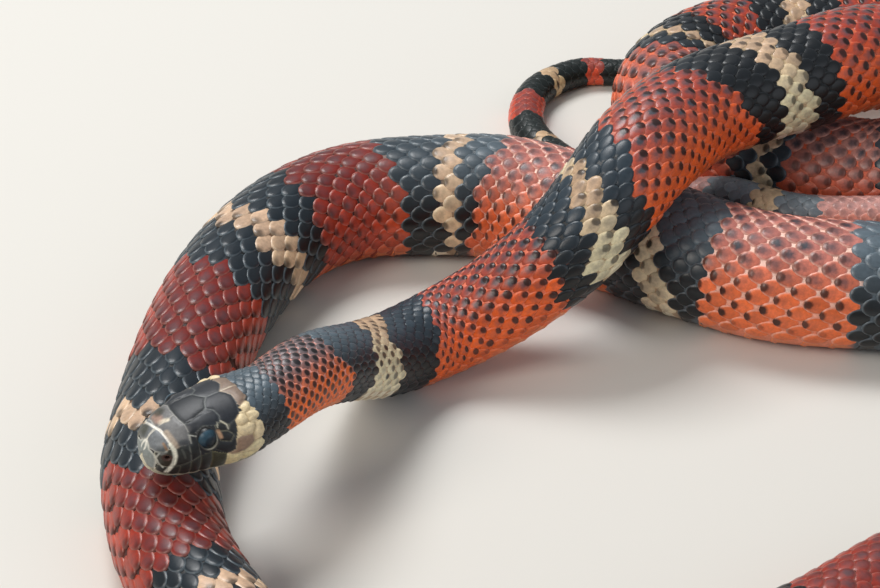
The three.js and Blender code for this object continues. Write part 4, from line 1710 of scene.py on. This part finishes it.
        # black ends: weaker on the back of the forebody, none next to the belly
        lower = 0.5 + 0.5 * np.maximum(ease(20, 75, side), ease(450, 380, s))
        black = self.pattern.look(s, "tip")[:, 0] * lower * rng.uniform(0.9, 1.0, count)
        smudge = (rng.random(count) < 0.7) * rng.uniform(0.6, 1.0, count)
        tip = np.select([red, cream], [black, smudge], 0.0) * ease(*self.tip_angles, side)
        # the smoky middle is strongest on the back, where its grey is partly a painted sheen
        smoke_and_sheen = np.select([red, cream], [1 - 0.8 * ease(25, 90, side), 0.35], 0.0)
        smoke_and_sheen = self.pattern.look(s, "smoke_and_sheen")[:, 0] * smoke_and_sheen * rng.uniform(0.6, 1.3, count)
        # the thin pale edge, partly a painted highlight
        rim = np.take_along_axis(self.pattern.look(s, "rim"), tone[:, None], 1)[:, 0]
        marks = np.stack([tip, smoke_and_sheen, rim], 1)
        return {"hue": with_alpha(hue), "edge": with_alpha(edge), "spot": spot, "marks": marks}

    def scutes(self) -> dict[str, Array]:
        """Place, size and colouring of every belly scute, in pairs below the tail.

        Returns:
            One row for each scute, by the attribute's name.
        """
        rng = np.random.default_rng(self.seed + 1)
        steps = self.steps()[::2]
        trunk, tail = steps[steps < VENT], steps[steps >= VENT]
        edge = 360 - 2 * self.reach
        s = np.concatenate([trunk, tail, tail])
        counts = [len(trunk), len(tail), len(tail)]
        angle = np.repeat([180.0, 180 - edge / 4, 180 + edge / 4], counts)
        wide = np.repeat([edge / 2 + 3, edge / 4 + 1.5, edge / 4 + 1.5], counts)
        right = (s > self.right_seen[0]) & (s < self.right_seen[1])
        tone = self.pattern.tones(s, np.where(right, -120.0, 120.0))
        colour = np.array([rgb(belly) for belly in self.pattern.belly])[tone]
        colour = colour * rng.uniform(0.9, 1.1, (len(s), 1))
        sizes = np.stack([self.pitch(s) * self.scute_length, wide, self.relief(s, *self.scute_relief)], 1)
        return {
            "place": np.stack([s, angle, 0 * s], 1), "plate_size": sizes,
            # the scutes' edge is their own colour made lighter: a painted highlight along their rims
            "hue": with_alpha(colour), "edge": with_alpha(colour * 1.15), "spot": np.zeros((len(s), 3)),
            "marks": np.tile([0.0, 0.0, 0.4], (len(s), 1)),
        }

    def lay(
        self, name: str, group: dict[str, Array], shape: bpy.types.Object, finish: bpy.types.Material,
        span: Pair,
    ) -> list[bpy.types.Object]:
        """Lays one kind of plate, in a piece for each length of the body.

        Args:
            name: start of the pieces' names.
            group: the plates' places, sizes and colouring.
            shape: the plate that is repeated.
            finish: the plates' material.
            span: first and last angle that the plates cover.

        Returns:
            The finished pieces.
        """
        pieces = []
        chart = self.helper(*span)
        for number, ((part, start), (_, end)) in enumerate(zip(self.lengths, self.lengths[1:])):
            chosen = (group["place"][:, 0] >= start) & (group["place"][:, 0] < end)
            if not chosen.any():
                continue
            attributes = {key: values[chosen] for key, values in group.items()}
            points = attributes["root"] = attributes.pop("place")
            stations = points[:, 0]
            values = {
                "Plate shape": shape, "Skin": chart, "Finish": finish, "First station": chart["first"],
                "Run": chart["run"], "First angle": span[0], "Turn": span[1] - span[0],
                "Spread": self.spread, "Bake start": float(stations.min() - 4),
                "Bake run": float(np.ptp(stations) + 8), "Bake share": self.bake_share,
                "Seed": self.seed + number,
            }
            pieces.append(self.tree.run(f"{name}_{part}", points, values, attributes))
        log.info("%s: %d laid", name, len(group["place"]))
        for helper in (chart, shape):
            mesh = helper.data
            bpy.data.objects.remove(helper)
            bpy.data.meshes.remove(mesh)
        return pieces

    def build(self, finish: bpy.types.Material) -> list[bpy.types.Object]:
        """Builds all scales and scutes."""
        scales = self.lay("scales", self.dorsals(), PlateShape.scale(), finish, (-150.0, 150.0))
        return scales + self.lay("scutes", self.scutes(), PlateShape.scute(), finish, (90.0, 270.0))


@dataclass
class Eyes:
    """Round eyes under their clear scales."""

    form: SkinForm
    centre: Triple = (17.45, 6.2, 2.72)
    radius: float = 2.06
    rings: int = 40
    sides: int = 56
    # degrees from the middle of the eye
    pupil: float = 30.0
    iris: float = 74.0
    # each pair: the own dark colour, then the same lit by a painted reflection of the sky
    pupil_and_reflection_tints: tuple[str, str] = ("#0A1016", "#1B303E")
    iris_and_reflection_tints: tuple[str, str] = ("#101B24", "#2A4656")
    rim_tint: str = "#0A0D11"

    def build(self, side: int, finish: bpy.types.Material) -> bpy.types.Object:
        """Builds one eye.

        Args:
            side: 1 for the left, -1 for the right.
            finish: the eye's material.

        Returns:
            The eye's object.
        """
        polar = np.radians(np.linspace(0, 180, self.rings + 1))[1:-1]
        turn = np.arange(self.sides) * 2 * np.pi / self.sides
        p, t = np.meshgrid(polar, turn, indexing="ij")
        out, ahead, high = np.cos(p), np.sin(p) * np.cos(t), np.sin(p) * np.sin(t)
        ball = np.stack([ahead, side * out, high], -1).reshape(-1, 3)
        ball = np.concatenate([ball, [(0, side, 0), (0, -side, 0)]])
        place = ball * self.radius + np.array([self.centre[0], side * self.centre[1], self.centre[2]])
        points = self.form.place(-place[:, 0], place[:, 1], place[:, 2])
        n, rows = self.sides, len(polar)
        faces = [(a, d, c, b) for a, b, c, d in grid(rows, n)]
        faces += [(len(ball) - 2, k, (k + 1) % n) for k in range(n)]
        faces += [(len(ball) - 1, (rows - 1) * n + (k + 1) % n, (rows - 1) * n + k) for k in range(n)]
        if side > 0:
            faces = [face[::-1] for face in faces]
        piece = make_mesh("left_eye" if side > 0 else "right_eye", points, faces)
        degrees = np.degrees(np.arccos(np.clip(ball[:, 1] * side, -1, 1)))
        # the dark pupil and iris are both painted lighter where they face the sky: a painted sky reflection
        sky_reflection_share = ease(-0.7, 0.9, 0.75 * ball[:, 2] + 0.45 * ball[:, 0])
        pupil, iris = (blend(rgb(low), rgb(high), sky_reflection_share) for low, high in (self.pupil_and_reflection_tints, self.iris_and_reflection_tints))
        colour = blend(pupil, iris, ease(self.pupil - 2, self.pupil + 3, degrees))
        colour = blend(colour, rgb(self.rim_tint), ease(self.iris - 6, self.iris + 4, degrees))
        store(piece.data, "hue", with_alpha(colour))
        piece.data.materials.append(finish)
        return piece


@dataclass
class Studio:
    """Camera, floor and soft lights."""

    camera_place: Triple = (-0.054, -0.6327, 0.4589)
    aim: Triple = (-0.054, 0.0226, 0.0)
    lens: float = 152.84
    light_aim: Triple = (0.0, 0.0, 0.02)
    floor_size: float = 8.0
    # name, place, size in metres, power in watts and colour of each soft light
    lamps: tuple[tuple[str, Triple, float, float, str], ...] = (
        ("softbox behind", (-0.35, 0.5, 1.0), 0.5, 11.0, "#FFFFFF"),
        ("softbox left", (-0.8, -0.55, 0.8), 0.5, 6.5, "#FFF6EC"),
        ("fill right", (0.8, -0.75, 0.55), 0.9, 2.4, "#EEF4FF"),
    )
    room_tint: str = "#E8ECF0"
    room_strength: float = 0.38

    @staticmethod
    def put(name: str, data: bpy.types.ID, place: tuple, target: tuple) -> bpy.types.Object:
        """Puts a camera or a lamp in the scene and aims it.

        Args:
            name: the object's name.
            data: the camera or the lamp.
            place: where it stands, in metres.
            target: what it looks at.

        Returns:
            The object.
        """
        item = link(name, data)
        item.location = place
        item.rotation_euler = (Vector(target) - Vector(place)).to_track_quat("-Z", "Y").to_euler()
        return item

    def camera(self) -> None:
        """Makes the camera at the photograph's viewing angle."""
        data = bpy.data.cameras.new("camera")
        data.lens, data.sensor_width, data.sensor_fit = self.lens, 36.0, "HORIZONTAL"
        data.clip_start, data.clip_end = 0.01, 50.0
        bpy.context.scene.camera = self.put("camera", data, self.camera_place, self.aim)

    def lights(self) -> None:
        """Adds the soft square lights, aimed at the snake."""
        for name, place, size, power, tint in self.lamps:
            data = bpy.data.lights.new(name, "AREA")
            data.shape, data.size, data.energy, data.color = "SQUARE", size, power, linear(tint)[:3]
            self.put(name, data, place, self.light_aim)

    def build(self) -> None:
        """Builds the stage."""
        self.camera()
        half = self.floor_size / 2 / MM
        square = np.array([(-half, -half, 0), (half, -half, 0), (half, half, 0), (-half, half, 0)])
        floor = make_mesh("floor", square, [(0, 1, 2, 3)])
        floor.data.materials.append(PaleFloor().build())
        floor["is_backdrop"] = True
        self.lights()
        world = bpy.data.worlds.new("soft room")
        world.use_nodes = True
        background = world.node_tree.nodes["Background"]
        background.inputs["Color"].default_value = linear(self.room_tint)
        background.inputs["Strength"].default_value = self.room_strength
        bpy.context.scene.world = world
        bpy.context.scene.view_settings.view_transform = "Standard"


def corners() -> list[list[float]]:
    """Lowest and highest corner of everything shown, as plain lists."""
    low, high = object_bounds()
    return [[float(v) for v in low], [float(v) for v in high]]


def main(frame: dict) -> None:
    """Builds the studio, the skin, the coat and the eyes in order.
    """
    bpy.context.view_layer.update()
    Studio().build()
    route = Route()
    form = SkinForm(route, HeadForm())
    pattern = Pattern()
    keratin, soft, clear = ScaleKeratin().build(), SoftSkin().build(), ClearSpectacle().build()
    skin = Skin(form, HeadDress(form.head), pattern).build(soft)
    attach(skin, "root")
    flesh = [name for name in frame["nodes"] if not name.startswith("eye")]
    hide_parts(*flesh)
    log.info("skin: %d faces", len(skin.data.polygons))
    for piece in Coat(form, pattern, LayTree()).build(keratin):
        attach(piece, "root")
        log.info("%s: %d faces", piece.name, len(piece.data.polygons))
    for side, node in ((1, "eye_left"), (-1, "eye_right")):
        eye = Eyes(form).build(side, clear)
        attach(eye, "root")
        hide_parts(node)
        log.info("%s: %d faces", eye.name, len(eye.data.polygons))


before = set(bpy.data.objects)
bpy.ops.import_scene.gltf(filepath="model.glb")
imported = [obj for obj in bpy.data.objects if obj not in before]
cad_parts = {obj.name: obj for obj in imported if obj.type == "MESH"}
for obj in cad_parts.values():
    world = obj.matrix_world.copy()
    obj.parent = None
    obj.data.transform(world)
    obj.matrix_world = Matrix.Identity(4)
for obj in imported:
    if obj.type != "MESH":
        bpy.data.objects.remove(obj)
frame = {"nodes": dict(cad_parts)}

if __name__ == "__main__":
    main(frame)
